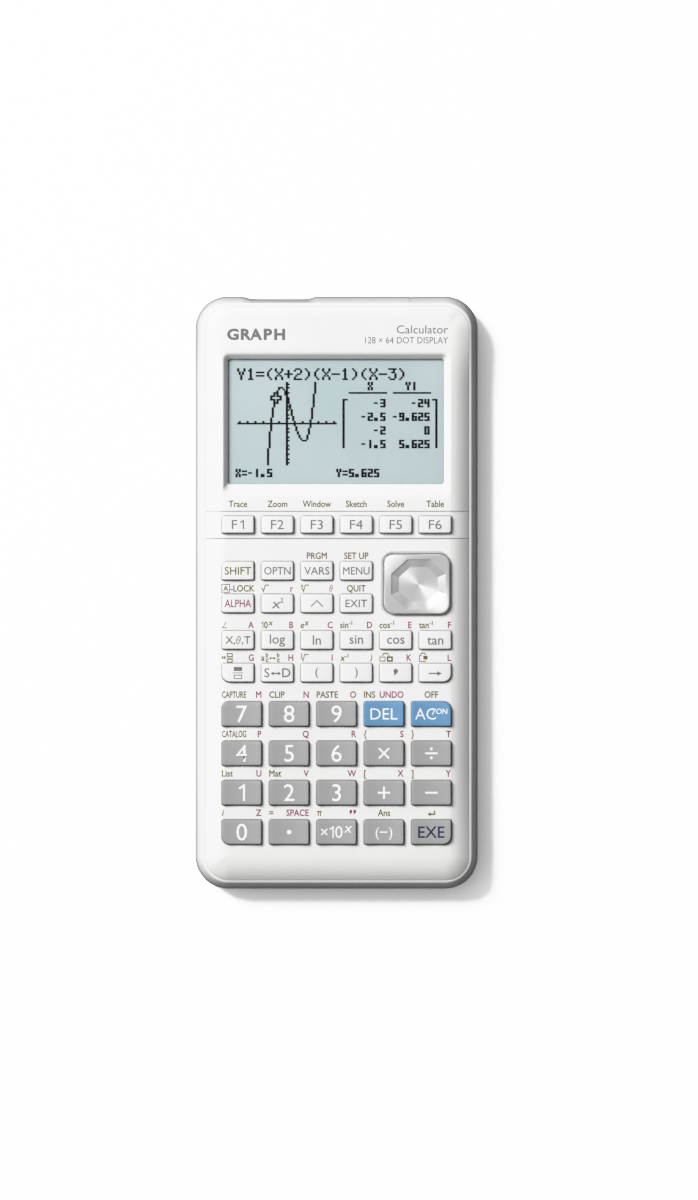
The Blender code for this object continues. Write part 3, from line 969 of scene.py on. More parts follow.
def ribbon(points, width):
    """A stroke of even width along a bent line, with mitred bends."""
    closed = points[0] == points[-1]
    ways = [
        Vector((b[0] - a[0], b[1] - a[1])).normalized() for a, b in zip(points, points[1:])
    ]
    left, right = [], []
    for i, point in enumerate(points):
        before = ways[i - 1] if i > 0 or closed else ways[0]
        after = ways[i] if i < len(ways) else (ways[0] if closed else ways[-1])
        if i == len(points) - 1 and closed:
            before, after = ways[-1], ways[0]
        if i == 0 and closed:
            before = ways[-1]
        normal = Vector((-(before.y + after.y), before.x + after.x)).normalized()
        stretch = width / 2 / max(normal.dot(Vector((-before.y, before.x))), 0.35)
        left.append((point[0] + normal.x * stretch, point[1] + normal.y * stretch))
        right.append((point[0] - normal.x * stretch, point[1] - normal.y * stretch))
    count = len(points)
    faces = [[i, count + i, count + i + 1, i + 1] for i in range(count - 1)]
    return left + right, faces


def polygon(points):
    return list(points), [list(range(len(points)))]


STROKE = 0.12
THIN = 0.11
DIAGONAL = math.sqrt(0.5)

# Glyphs that are one bent stroke: its width and its points.
STROKES = {
    "one": (STROKE, (0.0, 0.74), (0.3, 0.94), (0.3, 0.0)),
    "root": (0.14, (0.0, 0.4), (0.16, 0.5), (0.38, 0.02), (0.72, 1.02), (1.4, 1.02)),
    "angle": (STROKE, (0.75, 0.95), (0.05, 0.06), (0.85, 0.06)),
    "hook": (0.15, (0.0, 0.06), (0.16, 0.06), (0.29, 0.13), (0.36, 0.3), (0.36, 1.0)),
    "caret": (0.11, (0.0, 0.1), (0.65, 0.75), (1.3, 0.1)),
    "minus": (THIN, (0.0, 0.5), (0.74, 0.5)),
}


def stroke(name):
    width, *points = STROKES[name]
    return ribbon(points, width)


def box_outline(x0, y0, x1, y1, width=0.11):
    return ribbon([(x0, y0), (x1, y0), (x1, y1), (x0, y1), (x0, y0)], width)


def box_filled(x0, y0, x1, y1):
    return polygon([(x0, y0), (x1, y0), (x1, y1), (x0, y1)])


def arrow_head(tip, back, half):
    points = [(back, 0.42 - half), (tip, 0.42), (back, 0.42 + half)]
    return polygon(points if tip > back else points[::-1])


def rooted(index, weight, scale, place, slant=0.0):
    raised = moved(text_shape(index, weight), scale, place, slant)
    return joined(raised, moved(stroke("root"), 1.0, (0.1, 0.0)))


def glyph_x_root():
    return rooted("x", 0.06, 0.5, (0.02, 0.72), 0.1)


def glyph_cube_root():
    return rooted("3", 0.04, 0.48, (0.06, 0.66))


def glyph_square():
    letter = moved(text_shape("x"), 1.0, (0.0, 0.0), 0.2, 1.2)
    return joined(letter, moved(text_shape("2", KEY_WEIGHT), 0.48, (0.9, 0.58)))


def glyph_off_on():
    """AC, a slanted stroke and a small raised ON."""
    slash = ribbon([(1.62, 0.42), (1.86, 1.0)], 0.1)
    raised = moved(text_shape("ON", 0.02), 0.47, (1.92, 0.5), 0.1)
    return joined(text_shape("AC"), slash, raised)


def glyph_negative():
    signs = [moved(text_shape(sign), 0.86, (x, 0.07)) for sign, x in (("(", 0.0), (")", 1.26))]
    return joined(*signs, moved(stroke("minus"), 1.0, (0.44, 0.0), 0.0, 0.93))


def glyph_pi():
    bar = ribbon([(0.0, 0.6), (0.1, 0.7), (0.88, 0.7)], 0.16)
    legs = [ribbon([(0.27, 0.7), (0.24, 0.0)], 0.16), ribbon([(0.63, 0.7), (0.67, 0.0)], 0.16)]
    return joined(bar, *legs)


def glyph_return():
    line = ribbon([(0.45, 0.27), (1.3, 0.27), (1.3, 0.85)], 0.22)
    return joined(line, polygon([(0.0, 0.27), (0.55, -0.04), (0.55, 0.58)]))


def glyph_swap():
    line = ribbon([(0.25, 0.42), (0.95, 0.42)], 0.15)
    return joined(line, arrow_head(0.0, 0.35, 0.22), arrow_head(1.2, 0.85, 0.22))


def glyph_arrow():
    return joined(ribbon([(0.0, 0.42), (1.0, 0.42)], 0.14), arrow_head(1.45, 0.95, 0.26))


def glyph_fraction():
    return joined(
        box_filled(0.12, 0.72, 1.14, 1.22),
        box_filled(-0.06, 0.44, 1.32, 0.52),
        box_outline(0.17, -0.22, 1.09, 0.2, 0.1),
    )


def glyph_mixed():
    return joined(
        box_filled(0.0, 0.34, 0.7, 0.72),
        box_outline(1.05, 0.66, 1.95, 1.15, 0.15),
        box_filled(0.9, 0.4, 2.1, 0.49),
        box_outline(1.05, -0.2, 1.95, 0.24, 0.15),
    )


def glyph_stack():
    """A letter over a bar over a letter."""
    top = moved(text_shape("b", 0.04), 0.6, (0.03, 0.64), 0.0, 1.2)
    bottom = moved(text_shape("c", 0.04), 0.7, (0.06, -0.2), 0.0, 1.2)
    return joined(top, box_filled(-0.03, 0.4, 0.55, 0.49), bottom)


def glyph_copy():
    return joined(
        box_outline(0.05, -0.05, 1.0, 0.6, 0.13),
        ribbon([(0.5, 0.78), (0.75, 1.18), (1.45, 1.18), (1.75, 0.78)], 0.15),
        box_outline(1.45, -0.02, 2.3, 0.58, 0.26),
    )


def glyph_paste():
    return joined(
        ribbon([(1.15, 0.1), (1.15, -0.08), (0.05, -0.08), (0.05, 0.82), (0.45, 0.82)], 0.13),
        ribbon([(0.2, 1.0), (0.55, 1.22), (1.0, 1.22), (1.25, 0.95)], 0.15),
        box_filled(0.8, 0.22, 1.55, 0.8),
    )


def glyph_boxed():
    letter = moved(text_shape("A", 0.03), 0.75, (0.3, 0.12), 0.0, 1.15)
    return joined(box_outline(0.0, -0.14, 1.42, 1.14, 0.13), letter)


def glyph_theta():
    loop = []
    for c, t in circle(1.0, sides=20):
        rise = 0.5 + 0.5 * t
        loop.append((0.26 + 0.24 * c + 0.2 * rise, rise))
    return joined(ribbon(loop + loop[:1], 0.1), ribbon([(0.14, 0.5), (0.6, 0.5)], 0.1))


def teardrop(x, y, size):
    """A comma: a round head with a tail that runs down and to the left."""
    turns = [math.radians(230 - 20 * i) for i in range(15)]
    head = [(x + size * math.cos(turn), y + size * math.sin(turn)) for turn in turns]
    return polygon(([(x - 0.7 * size, y - 2.1 * size)] + head)[::-1])


def glyph_comma():
    return teardrop(0.16, 0.62, 0.16)


def glyph_quotes():
    return joined(teardrop(0.27, 0.72, 0.26), teardrop(0.98, 0.72, 0.26))


def glyph_dot():
    return polygon(circle(0.135, (0.135, 0.5), 20))


def crossed(reach):
    """A plus of four arms round a square, turned by the caller if it is a times sign."""
    w = THIN / 2
    arms = [
        (w, -w), (reach, -w), (reach, w), (w, w), (w, reach), (-w, reach),
        (-w, w), (-reach, w), (-reach, -w), (-w, -w), (-w, -reach), (w, -reach),
    ]
    faces = [[0, 1, 2, 3], [3, 4, 5, 6], [6, 7, 8, 9], [9, 10, 11, 0], [0, 3, 6, 9]]
    return arms, faces


def glyph_plus():
    return moved(crossed(0.37), 1.0, (0.37, 0.5))


def glyph_times():
    points, faces = crossed(0.43)
    turned = [((x - y) * DIAGONAL + 0.34, (x + y) * DIAGONAL + 0.5) for x, y in points]
    return turned, faces


def glyph_divide():
    dots = [polygon(circle(0.085, (0.37, y), 16)) for y in (0.23, 0.77)]
    return joined(stroke("minus"), *dots)


DRAWINGS = (
    glyph_pi, glyph_return, glyph_swap, glyph_arrow, glyph_fraction, glyph_mixed,
    glyph_stack, glyph_copy, glyph_paste, glyph_boxed, glyph_theta, glyph_comma,
    glyph_quotes, glyph_x_root, glyph_cube_root, glyph_square, glyph_off_on,
    glyph_negative, glyph_dot, glyph_times, glyph_plus, glyph_divide,
)
GLYPHS = {draw.__name__.replace("glyph_", ""): draw for draw in DRAWINGS}

LETTER_GAP = 0.12
RAISED = (0.64, 0.5)
RAISED_LETTER = (0.85, 0.46)
RAISED_WEIGHT = 1.5


def legend_shape(legend, weight):
    """Lays out a legend one cap height tall from words between bars: plain text, @glyph,
    ^raised, /slanted, or ~ with a gap. An underscore stands for a space."""
    shapes = []
    pen = 0.0
    for word in legend.split("|"):
        if word.startswith("~"):
            pen += float(word[1:])
            continue
        scale, rise, slant = 1.0, 0.0, 0.0
        if word.startswith("^"):
            scale, rise = RAISED_LETTER if word.startswith("^/") else RAISED
            word = word[1:]
        if word.startswith("/"):
            slant = 0.22
            word = word[1:]
        if word.startswith("@"):
            glyph = word[1:]
            shape = stroke(glyph) if glyph in STROKES else GLYPHS[glyph]()
        else:
            heavier = RAISED_WEIGHT if rise else 1.0
            shape = text_shape(word.replace("_", " "), heavier * weight)
        low, high = span(shape)
        shapes.append(moved(shape, scale, (pen - scale * low, rise), slant))
        pen += scale * (high - low) + LETTER_GAP
    return joined(*shapes)


def place_legend(legend, x, y, cap, align="center", widest=99.0, squeeze=1.0, weight=0.0):
    """The legend at (x, y), where y is the middle of its capitals."""
    shape = legend_shape(legend, weight)
    low, high = span(shape)
    squeeze = min(squeeze, widest / cap / (high - low))
    start = {"left": low, "center": (low + high) / 2, "right": high}[align]
    return moved(shape, cap, (x - cap * squeeze * start, y - cap / 2), 0.0, squeeze)


def sliced(shape, step=1.0):
    """The flat shape with extra edges across its wide faces, so that it can follow a curve."""
    points, faces = shape
    bm = bmesh.new()
    verts = [bm.verts.new((x, y, 0.0)) for x, y in points]
    for face in faces:
        bm.faces.new([verts[i] for i in face])
    low, high = span(shape)
    for i in range(math.ceil(low / step), math.floor(high / step) + 1):
        geometry = bm.verts[:] + bm.edges[:] + bm.faces[:]
        bmesh.ops.bisect_plane(bm, geom=geometry, plane_co=(i * step, 0, 0), plane_no=(1, 0, 0))
    bm.verts.ensure_lookup_table()
    bm.verts.index_update()
    cut = [(v.co.x, v.co.y) for v in bm.verts]
    cut_faces = [[v.index for v in face.verts] for face in bm.faces]
    bm.free()
    return cut, cut_faces


def print_on(name, shapes, ink, body, surface):
    """One solid of thin ink on a surface, sunk into it by its own thickness."""
    bm = bmesh.new()
    for shape in map(sliced, shapes):
        add_flat(bm, shape, lambda x, y: surface(x, y) + 0.012, lambda x, y: surface(x, y) - 0.03)
    bmesh.ops.recalc_face_normals(bm, faces=bm.faces)
    new_piece(name, bm, ink, body, angle=20)


# ---------------------------------------------------------------- legends

# Ink and capital height of the keys' own labels, with key:legend pairs.
KEY_LABELS = (
    ("grey_ink", 2.7, "f1:F|~0.14|@one f2:F2 f3:F3 f4:F4 f5:F5 f6:F6 power:@caret log:log"),
    ("grey_ink", 2.7, "ln:ln sin:sin cos:cos tan:tan store:@arrow"),
    ("grey_ink", 2.2, "optn:OPTN vars:VARS menu:MENU exit:EXIT variable:X,|@theta|,|T"),
    ("grey_ink", 2.9, "square:@square"),
    ("grey_ink", 2.4, "fraction:@fraction"),
    ("grey_ink", 2.6, "convert:S|@swap|D"),
    ("grey_ink", 2.3, "open_bracket:( close_bracket:)"),
    ("grey_ink", 4.2, "comma:@comma"),
    ("gold_ink", 2.2, "shift:SHIFT"),
    ("pink_ink", 2.2, "alpha:ALPHA"),
    ("white_ink", 4.9, "7:7 8:8 9:9 4:4 5:5 6:6 1:@one 2:2 3:3 0:0"),
    ("white_ink", 5.0, "times:@times divide:@divide plus:@plus minus:@minus point:@dot"),
    ("white_ink", 3.3, "del:DEL ac:@off_on negative:@negative"),
    ("white_ink", 3.4, "exponent:×|@one|0|^/x"),
    ("navy_ink", 3.3, "exe:EXE"),
)
# Key, shifted legend (gold) and letter (pink); a legend without a letter is centred.
SHIFTED = (
    "vars:PRGM: menu:SET_UP: alpha:@boxed|-LOCK: square:@root:r power:@x_root:@theta "
    "exit:QUIT: variable:@angle:A log:@one|0|^/x:B ln:/e|^/x:C sin:sin|^-1:D cos:cos|^-1:E "
    "tan:tan|^-1:F fraction:@mixed:G convert:a|@stack|@swap|@stack:H "
    "open_bracket:@cube_root:I close_bracket:/x|^-1:@hook comma:@copy:K store:@paste:L "
    "7:CAPTURE:M 8:CLIP:N 9:PASTE:O del:INS:UNDO ac:OFF: 4:CATALOG:P 5::Q 6::R times:{:S "
    "divide:}:T 1:List:U 2:Mat:V 3::W plus:[:X minus:]:Y 0:/i:Z point:=:SPACE "
    "exponent:@pi:@quotes negative:Ans: exe:@return:"
)
FUNCTION_LABELS = ("Trace", "Zoom", "Window", "Sketch", "Solve", "Table")
FUNCTION_LABEL_Y = 26.3
SHIFTED_CAP = 1.85
LEGEND_LIFT = {True: 5.7, False: 4.45}
LONG_LEGEND = 7.2
KEY_WEIGHT = 0.010
LEGEND_WEIGHT = 0.024
LABEL_RISE = {
    "log": 0.3, "sin": 0.25, "cos": 0.25, "power": 0.15, "open_bracket": 0.3, "close_bracket": 0.3
}


def print_key_labels():
    for ink, cap, row in KEY_LABELS:
        for entry in row.split():
            name, legend = entry.split(":")
            center, half, _, _ = key_plan("key_" + name)
            y = center[1] + LABEL_RISE.get(name, 0.0)
            stretch = 1.12 if name[0] == "f" and len(name) == 2 else 1.0
            weight = 0.0 if ink == "white_ink" or stretch > 1 else KEY_WEIGHT
            shape = place_legend(
                legend, center[0], y, cap, widest=1.6 * half[0], squeeze=stretch, weight=weight
            )
            print_on("label_" + name, [shape], ink, "key_" + name, key_top("key_" + name))


def print_face_legends():
    style = {"squeeze": 0.87, "weight": LEGEND_WEIGHT}
    gold, pink = [], []
    for i, word in enumerate(FUNCTION_LABELS):
        center, *_ = key_plan(f"key_f{i + 1}")
        gold.append(place_legend(word, center[0], FUNCTION_LABEL_Y, SHIFTED_CAP, **style))
    for entry in SHIFTED.split():
        name, legend, letter = entry.split(":")
        center, half, _, _ = key_plan("key_" + name)
        y = center[1] + LEGEND_LIFT[is_large("key_" + name)]
        if legend and letter:
            left = center[0] - half[0] + 0.1
            gold.append(place_legend(legend, left, y, SHIFTED_CAP, "left", LONG_LEGEND, **style))
        elif legend:
            gold.append(place_legend(legend, center[0], y, SHIFTED_CAP, **style))
        if letter:
            right = center[0] + half[0] - 0.2
            pink.append(place_legend(letter, right, y, SHIFTED_CAP, "right", **style))
    print_on("gold_legends", gold, "gold_ink", "case", face_z)
    print_on("pink_legends", pink, "pink_ink", "case", face_z)
    names = [
        place_legend("G|~0.05|RA|P|~0.05|H", -32.4, 76.45, 3.0, "left", 17.2, 1.3, weight=0.06),
        place_legend("Calculator", 33.0, 77.9, 2.4, "right", 15.2, 1.2),
        place_legend("128_×_64_DOT_DISPLAY", 33.0, 74.7, 1.9, "right", 24.6, 1.2),
    ]
    print_on("face_words", names, "grey_ink", "case", face_z)


# ---------------------------------------------------------------- display content

DOT_COLUMNS, DOT_ROWS = 128, 64
DOTS_X = (-29.84, 29.78)
DOTS_Y = (34.2, 66.5)
DOT_FILL = (1.45, 0.99)

LARGE_FONT = {
    "Y": "#...# #...# .#.#. .#.#. ..#.. ..#.. ..#..",
    "1": "..#.. .##.. ..#.. ..#.. ..#.. ..#.. .###.",
    "=": "..... ..... ##### ..... ##### ..... .....",
    "(": "...#. ..#.. .#... .#... .#... ..#.. ...#.",
    ")": ".#... ..#.. ...#. ...#. ...#. ..#.. .#...",
    "X": "#...# #...# .#.#. ..#.. .#.#. #...# #...#",
    "+": "..... ..#.. ..#.. ##### ..#.. ..#.. .....",
    "-": "..... ..... ..... ##### ..... ..... .....",
    "2": ".###. #...# ....# ..##. .#... #.... #####",
    "3": "##### ...#. ..##. ....# ....# #...# .###.",
}
SMALL_FONT = {
    "0": "### #.# #.# #.# ###",
    "1": ".#. .#. .#. .#. .#.",
    "2": "### ..# ### #.. ###",
    "3": "### ..# ### ..# ###",
    "4": "#.# #.# ### ..# ..#",
    "5": "### #.. ### ..# ###",
    "6": "### #.. ### #.# ###",
    "9": "### #.# ### ..# ###",
    "X": "#.# #.# .#. #.# #.#",
    "Y": "#.# #.# .#. .#. .#.",
    "-": "... ... ##. ... ...",
    "=": "... ### ... ### ...",
    ".": "... ... ... ##. ##.",
}


def write_dots(dots, font, text, column, row, pitch):
    for i, letter in enumerate(text):
        for down, line in enumerate(font[letter].split()):
            for across, mark in enumerate(line):
                if mark == "#":
                    dots.add((column + i * pitch + across, row + down))


def cubic(x):
    return (x + 2) * (x - 1) * (x - 3)


PLOT_CENTER = (32, 32)
PLOT_SCALE = (5.0, 2.58)
PLOT_ROWS = (8, 56)


def plot_row(x):
    return round(PLOT_CENTER[1] - PLOT_SCALE[1] * cubic(x))


def draw_plot(dots):
    middle_x, middle_y = PLOT_CENTER
    for column in range(1, 64):
        dots.add((column, middle_y))
        if (column - middle_x) % 5 == 0:
            dots.add((column, middle_y - 1))
    for row in range(PLOT_ROWS[0], PLOT_ROWS[1] + 1):
        dots.add((middle_x, row))
    for tick in range(-9, 10):
        row = round(middle_y + PLOT_SCALE[1] * tick)
        if PLOT_ROWS[0] <= row <= PLOT_ROWS[1]:
            dots.add((middle_x + 1, row))
    last = None
    for column in range(1, 65):
        row = plot_row((column - middle_x) / PLOT_SCALE[0])
        start = row if last is None else last
        step = 1 if row >= start else -1
        for passed in range(start, row + step, step):
            share = 0.5 if start == row else (passed - start) / (row - start)
            if PLOT_ROWS[0] <= passed <= PLOT_ROWS[1]:
                dots.add((column - (1 if share < 0.5 else 0), passed))
        last = row


def draw_cursor(dots, value):
    """A hollow cross on the curve."""
    column = round(PLOT_CENTER[0] + PLOT_SCALE[0] * value) + 1
    row = plot_row(value)
    arms = "..###.. ..#.#.. ###.### #.....# ###.### ..#.#.. ..###..".split()
    for down, line in enumerate(arms):
        for across, mark in enumerate(line):
            spot = (column - 3 + across, row - 3 + down)
            dots.discard(spot)
            if mark == "#":
                dots.add(spot)


def draw_table(dots):
    write_dots(dots, SMALL_FONT, "X", 84, 8, 4)
    write_dots(dots, SMALL_FONT, "Y1", 108, 8, 4)
    dots.update((column, 14) for column in range(72, 96))
    dots.update((column, 14) for column in range(100, 124))
    for i, value in enumerate((-3, -2.5, -2, -1.5)):
        row = 18 + 8 * i
        for number, right in ((value, 95), (cubic(value), 123)):
            text = f"{number:g}"
            write_dots(dots, SMALL_FONT, text, right - 4 * len(text) + 1, row, 4)
    for row in range(18, 47):
        dots.add((68, row))
        dots.add((127, row))
    for reach in (1, 2):
        dots.update([(68 + reach, 18), (127 - reach, 18)])


def dot_runs(dots):
    """(first column, last column, row) of each unbroken run of dots in a row."""
    for column, row in sorted(dots):
        if (column - 1, row) in dots:
            continue
        last = column
        while (last + 1, row) in dots:
            last += 1
        yield column, last, row


def make_display_dots():
    dots = set()
    draw_plot(dots)
    draw_cursor(dots, -1.5)
    draw_table(dots)
    write_dots(dots, LARGE_FONT, "Y1=(X+2)(X-1)(X-3)", 1, 0, 6)
    write_dots(dots, SMALL_FONT, "X=-1.5", 0, 59, 4)
    write_dots(dots, SMALL_FONT, "Y=5.625", 64, 59, 4)
    pitch_x = (DOTS_X[1] - DOTS_X[0]) / DOT_COLUMNS
    pitch_y = (DOTS_Y[1] - DOTS_Y[0]) / DOT_ROWS
    half_x, half_y = pitch_x * DOT_FILL[0] / 2, pitch_y * DOT_FILL[1] / 2
    panel_top = node_box("lcd_panel")[1][2]
    bm = bmesh.new()
    for first, last, row in dot_runs(dots):
        x0 = DOTS_X[0] + (first + 0.5) * pitch_x - half_x
        x1 = DOTS_X[0] + (last + 0.5) * pitch_x + half_x
        y = DOTS_Y[1] - (row + 0.5) * pitch_y
        outline = rectangle((x0, x1), (y - half_y, y + half_y))
        add_loft(bm, prism(outline, (panel_top - 0.01, panel_top + 0.03)))
    bmesh.ops.recalc_face_normals(bm, faces=bm.faces)
    new_piece("display_dots", bm, "lcd_ink")


# ---------------------------------------------------------------- cursor pad

PAD_DISH_CENTER = (24.2, 2.5)
OCTAGON_OUTER = (7.95, 7.3)
OCTAGON_INNER = (5.75, 5.1)
PAD_RING_POINTS = 32
OCTAGON_STEP = 0.26
FACET_DROP = 1.2
CONE_DROP = 0.16
PAD_GROW = 0.1
# Room for the foot to dip when the pad rocks.
PAD_LIFT = 0.42


def octagon(half, points=PAD_RING_POINTS):
    """An octagon with flat top and sides, with points spread evenly along its edges."""
    cut = math.tan(math.pi / 8)
    hx, hy = half
    corners = [
        (hx, -hy * cut), (hx, hy * cut), (hx * cut, hy), (-hx * cut, hy),
        (-hx, hy * cut), (-hx, -hy * cut), (-hx * cut, -hy), (hx * cut, -hy),
    ]
    per_edge = points // 8
    outline = []
    for k, (x0, y0) in enumerate(corners):
        x1, y1 = corners[(k + 1) % 8]
        for i in range(per_edge):
            share = i / per_edge
            x = PAD_DISH_CENTER[0] + x0 + share * (x1 - x0)
            y = PAD_DISH_CENTER[1] + y0 + share * (y1 - y0)
            outline.append((x, y))
    return outline


def pad_outline(grow):
    """The pad's rounded outline, started so that its points face the octagon's."""
    center, half, _ = pad_plan()
    radius = max(PAD_CORNER + grow, 0.4)
    steps = 4
    points = rounded(half[0] + grow, half[1] + grow, (radius,) * 4, center, steps, (3, 3))
    return points[steps // 2 :] + points[: steps // 2]


def pad_ring(grow, z):
    """A ring of the pad's upper part, which sits a little to the upper left."""
    return [(x + PAD_SHIFT[0], y + PAD_SHIFT[1], z) for x, y in pad_outline(grow)]


def make_cursor_pad():
    center, half, (low, high) = pad_plan()
    side = 17.3
    foot = low + PAD_LIFT
    ledge = foot + 0.18
    rings = [ring_at(pad_outline(PAD_FLANGE), foot), ring_at(pad_outline(PAD_FLANGE), ledge)]
    rings += [ring_at(pad_outline(0.0), ledge), ring_at(pad_outline(-0.02), side)]
    rim = 0.35
    for turn in (0, 22, 45, 68, 90):
        angle = math.radians(turn)
        inward = 0.15 - PAD_GROW + rim * (1 - math.cos(angle))
        rings.append(pad_ring(-inward, high - rim * (1 - math.sin(angle))))
    rings += [pad_ring(PAD_GROW - 0.15 - rim - 0.4, high)]
    outer = octagon(OCTAGON_OUTER)
    for grow, z in ((0.12, high), (0.05, high - 0.02)):
        rings.append(ring_at(octagon([h + grow for h in OCTAGON_OUTER]), z))
    rings.append(ring_at(outer, high - OCTAGON_STEP))
    floor = high - FACET_DROP
    rings.append(ring_at(octagon(OCTAGON_INNER), floor))
    inner = octagon([h - 0.05 for h in OCTAGON_INNER])
    tip = [PAD_DISH_CENTER] * PAD_RING_POINTS
    for share in (0.0, 0.3, 0.6, 0.85, 0.97):
        rings.append(ring_at(mix(inner, tip, share), floor - CONE_DROP * share))
    pad = lofted(
        "cursor_rocker", [rings], "silver", body="cursor_pad", replaces=["cursor_pad"], angle=18
    )
    under = rounded(half[0] - 1.5, half[1] - 1.5, (1.6,) * 4, center)
    carve(pad, "DIFFERENCE", [prism(under, (low - 1, 15.15))])
    carve(pad, "DIFFERENCE", [prism(circle(3.4, center), (low - 1, 17.0))])
    smooth(pad, 18)


# ---------------------------------------------------------------- rear case

REAR_INSIDE = ((3.6, 1.4), (2.2, 2.8), (1.8, PARTING_LOW + 7.85))
REAR_OUTSIDE = (
    (0.12, 7.85), (0.0, 7.73), (0.0, 6.0), (0.05, 4.4), (0.16, 3.1), (0.38, 2.1),
    (0.75, 1.25), (1.3, 0.6), (2.0, 0.2), (3.0, 0.0),
)
SCREW_HEAD_Z = 2.4
RECESS_X = 26.0
RECESS_Y = (-75.4, -18.6)
SHELF_Z = (1.55, 2.7)
BAY_HALF = (22.0, 24.0)
BAY_Y = -47.0
BAY_CEILING_Z = (12.05, 12.65)
BAY_WALL = 1.2
HOOK_X = 14.0
FEET_XY = [(side * 27.0, y) for y in (-81.0, 80.5) for side in (-1, 1)]
FOOT_HALF = (4.5, 1.8)
PLATE_Y = (22.0, 44.0)
PLATE_HALF = 21.0
RESTART_XY = (-20.0, 2.0)
SHEET_THICK = 0.35
DOME_HALF = (3.2, 2.2)
PAD_DOME_REACH = 6.2


def bar(middle_x, width, y_range, z_range):
    x_range = (middle_x - width / 2, middle_x + width / 2)
    return prism(rectangle(x_range, y_range), z_range)


def rounded_box(center, half, radius, z_range, steps=6):
    return prism(rounded(*half, (radius,) * 4, center, steps), z_range)


def sunk(outline_at, depth, lip=0.15):
    """A cutter for a recess in the back whose mouth has a small chamfer."""
    return [
        ring_at(outline_at(lip), -1.0),
        ring_at(outline_at(lip), 0.0),
        ring_at(outline_at(0.0), lip),
        ring_at(outline_at(0.0), depth),
    ]


def foot_outline(radius, grow, xy, steps):
    half_x, half_y = FOOT_HALF
    return rounded(half_x + grow, half_y + grow, (radius + grow,) * 4, xy, steps)


def rear_recesses():
    half_y = (RECESS_Y[1] - RECESS_Y[0]) / 2
    center = (0.0, sum(RECESS_Y) / 2)
    yield sunk(lambda g: rounded(RECESS_X + g, half_y + g, (1.5 + g,) * 4, center), SHELF_Z[0])


def feet_recesses():
    for xy in FEET_XY:
        yield sunk(lambda g, xy=xy: foot_outline(1.7, g, xy, 5), 0.5)


def screw_cutters():
    for xy in SCREWS_XY:
        yield [
            ring_at(circle(2.35, xy), -1.0),
            ring_at(circle(2.35, xy), 0.0),
            ring_at(circle(2.1, xy), 0.25),
            ring_at(circle(2.1, xy), SCREW_HEAD_Z),
            ring_at(circle(1.1, xy), SCREW_HEAD_Z),
            ring_at(circle(1.1, xy), SHELL_SPLIT + 1),
        ]


def make_key_sheet():
    """A rubber sheet on the board, and over it a dome under each key and four for the pad."""
    middle, half, low, top = cap_plan("key_sheet", 0.0)
    sheet_top = low + SHEET_THICK
    outline = rounded(*half, (2.0,) * 4, middle)
    sheet = lofted("rubber_sheet", [prism(outline, (low, sheet_top))], "rubber",
                   replaces=["key_sheet"])
    pad_center, _, _ = pad_plan()
    carve(sheet, "DIFFERENCE", [prism(circle(4.2, pad_center), (low - 1, sheet_top + 1))])
    for name in KEY_NODES:
        center, *_ = key_plan(name)
        dome = make_dome(name.replace("key_", "dome_"), center, sheet_top, top)
        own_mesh(dome)
    for i in range(4):
        turn = math.radians(90 * i)
        x = pad_center[0] + PAD_DOME_REACH * math.cos(turn)
        y = pad_center[1] + PAD_DOME_REACH * math.sin(turn)
        make_dome(f"pad_dome_{i + 1}", (x, y), sheet_top, top)


def make_dome(name, center, foot, top):
    """A low rubber dome with rounded shoulders; its foot is sunk into the sheet."""
    stations = ((1.0, foot - 0.05), (1.0, foot + 0.05), (0.84, top - 0.22), (0.76, top - 0.06),
                (0.68, top))
    rings = []
    for share, z in stations:
        half = [share * h for h in DOME_HALF]
        rings.append(ring_at(rounded(*half, (1.2 * share,) * 4, center), z))
    return lofted(name, [rings], "rubber")


def make_rear_case():
    rings = [case_ring(inset, z) for inset, z in REAR_INSIDE]
    for inset, z in REAR_OUTSIDE:
        rings.append(case_ring(inset, z, ease((z - 2.0) / 2.0)))
    rear = lofted("rear_shell", [rings], "rear", replaces=["rear_case"])
    bay = (0.0, BAY_Y)
    outer = [h + BAY_WALL for h in BAY_HALF]
    shelf_half = (RECESS_X + BAY_WALL, (RECESS_Y[1] - RECESS_Y[0]) / 2 + BAY_WALL)
    carve(rear, "UNION", [rounded_box(bay, outer, 1.5, (0.5, BAY_CEILING_Z[1]))])
    carve(rear, "UNION", [rounded_box((0.0, BAY_Y), shelf_half, 1.5, (0.7, SHELF_Z[1]))])
    bosses = [prism(circle(2.7, xy, 24), (0.7, PARTING_LOW + 7.85)) for xy in SCREWS_XY]
    carve(rear, "UNION", bosses)
    carve(rear, "DIFFERENCE", [rounded_box(bay, BAY_HALF, 1.0, (-1.0, BAY_CEILING_Z[0]))])
    carve(rear, "DIFFERENCE", list(rear_recesses()))
    slots = [bar(x, 6.6, (-76.4, -72.1), (1.5, 3.5)) for x in (-HOOK_X, HOOK_X)]
    slots.append(bar(0.0, 8.6, (-21.5, -19.3), (1.3, 3.5)))
    carve(rear, "DIFFERENCE", slots)
    scoop = sunk(lambda g: rounded(7.0 + g, 2.3 + g, (2.2,) * 4, (0.0, -16.9)), 0.8, 0.3)
    plate = sunk(
        lambda g: rounded(PLATE_HALF + g, (PLATE_Y[1] - PLATE_Y[0]) / 2 + g, (1.5,) * 4,
                          (0.0, sum(PLATE_Y) / 2)), 0.3, 0.12)
    restart = sunk(lambda g: circle(1.0 + g, RESTART_XY), 2.5)
    carve(rear, "DIFFERENCE", [scoop])
    carve(rear, "DIFFERENCE", [plate, restart] + list(feet_recesses()) + list(screw_cutters()))
    carve(rear, "DIFFERENCE", [port_cutter()])
    weigh_normals(rear, 32)


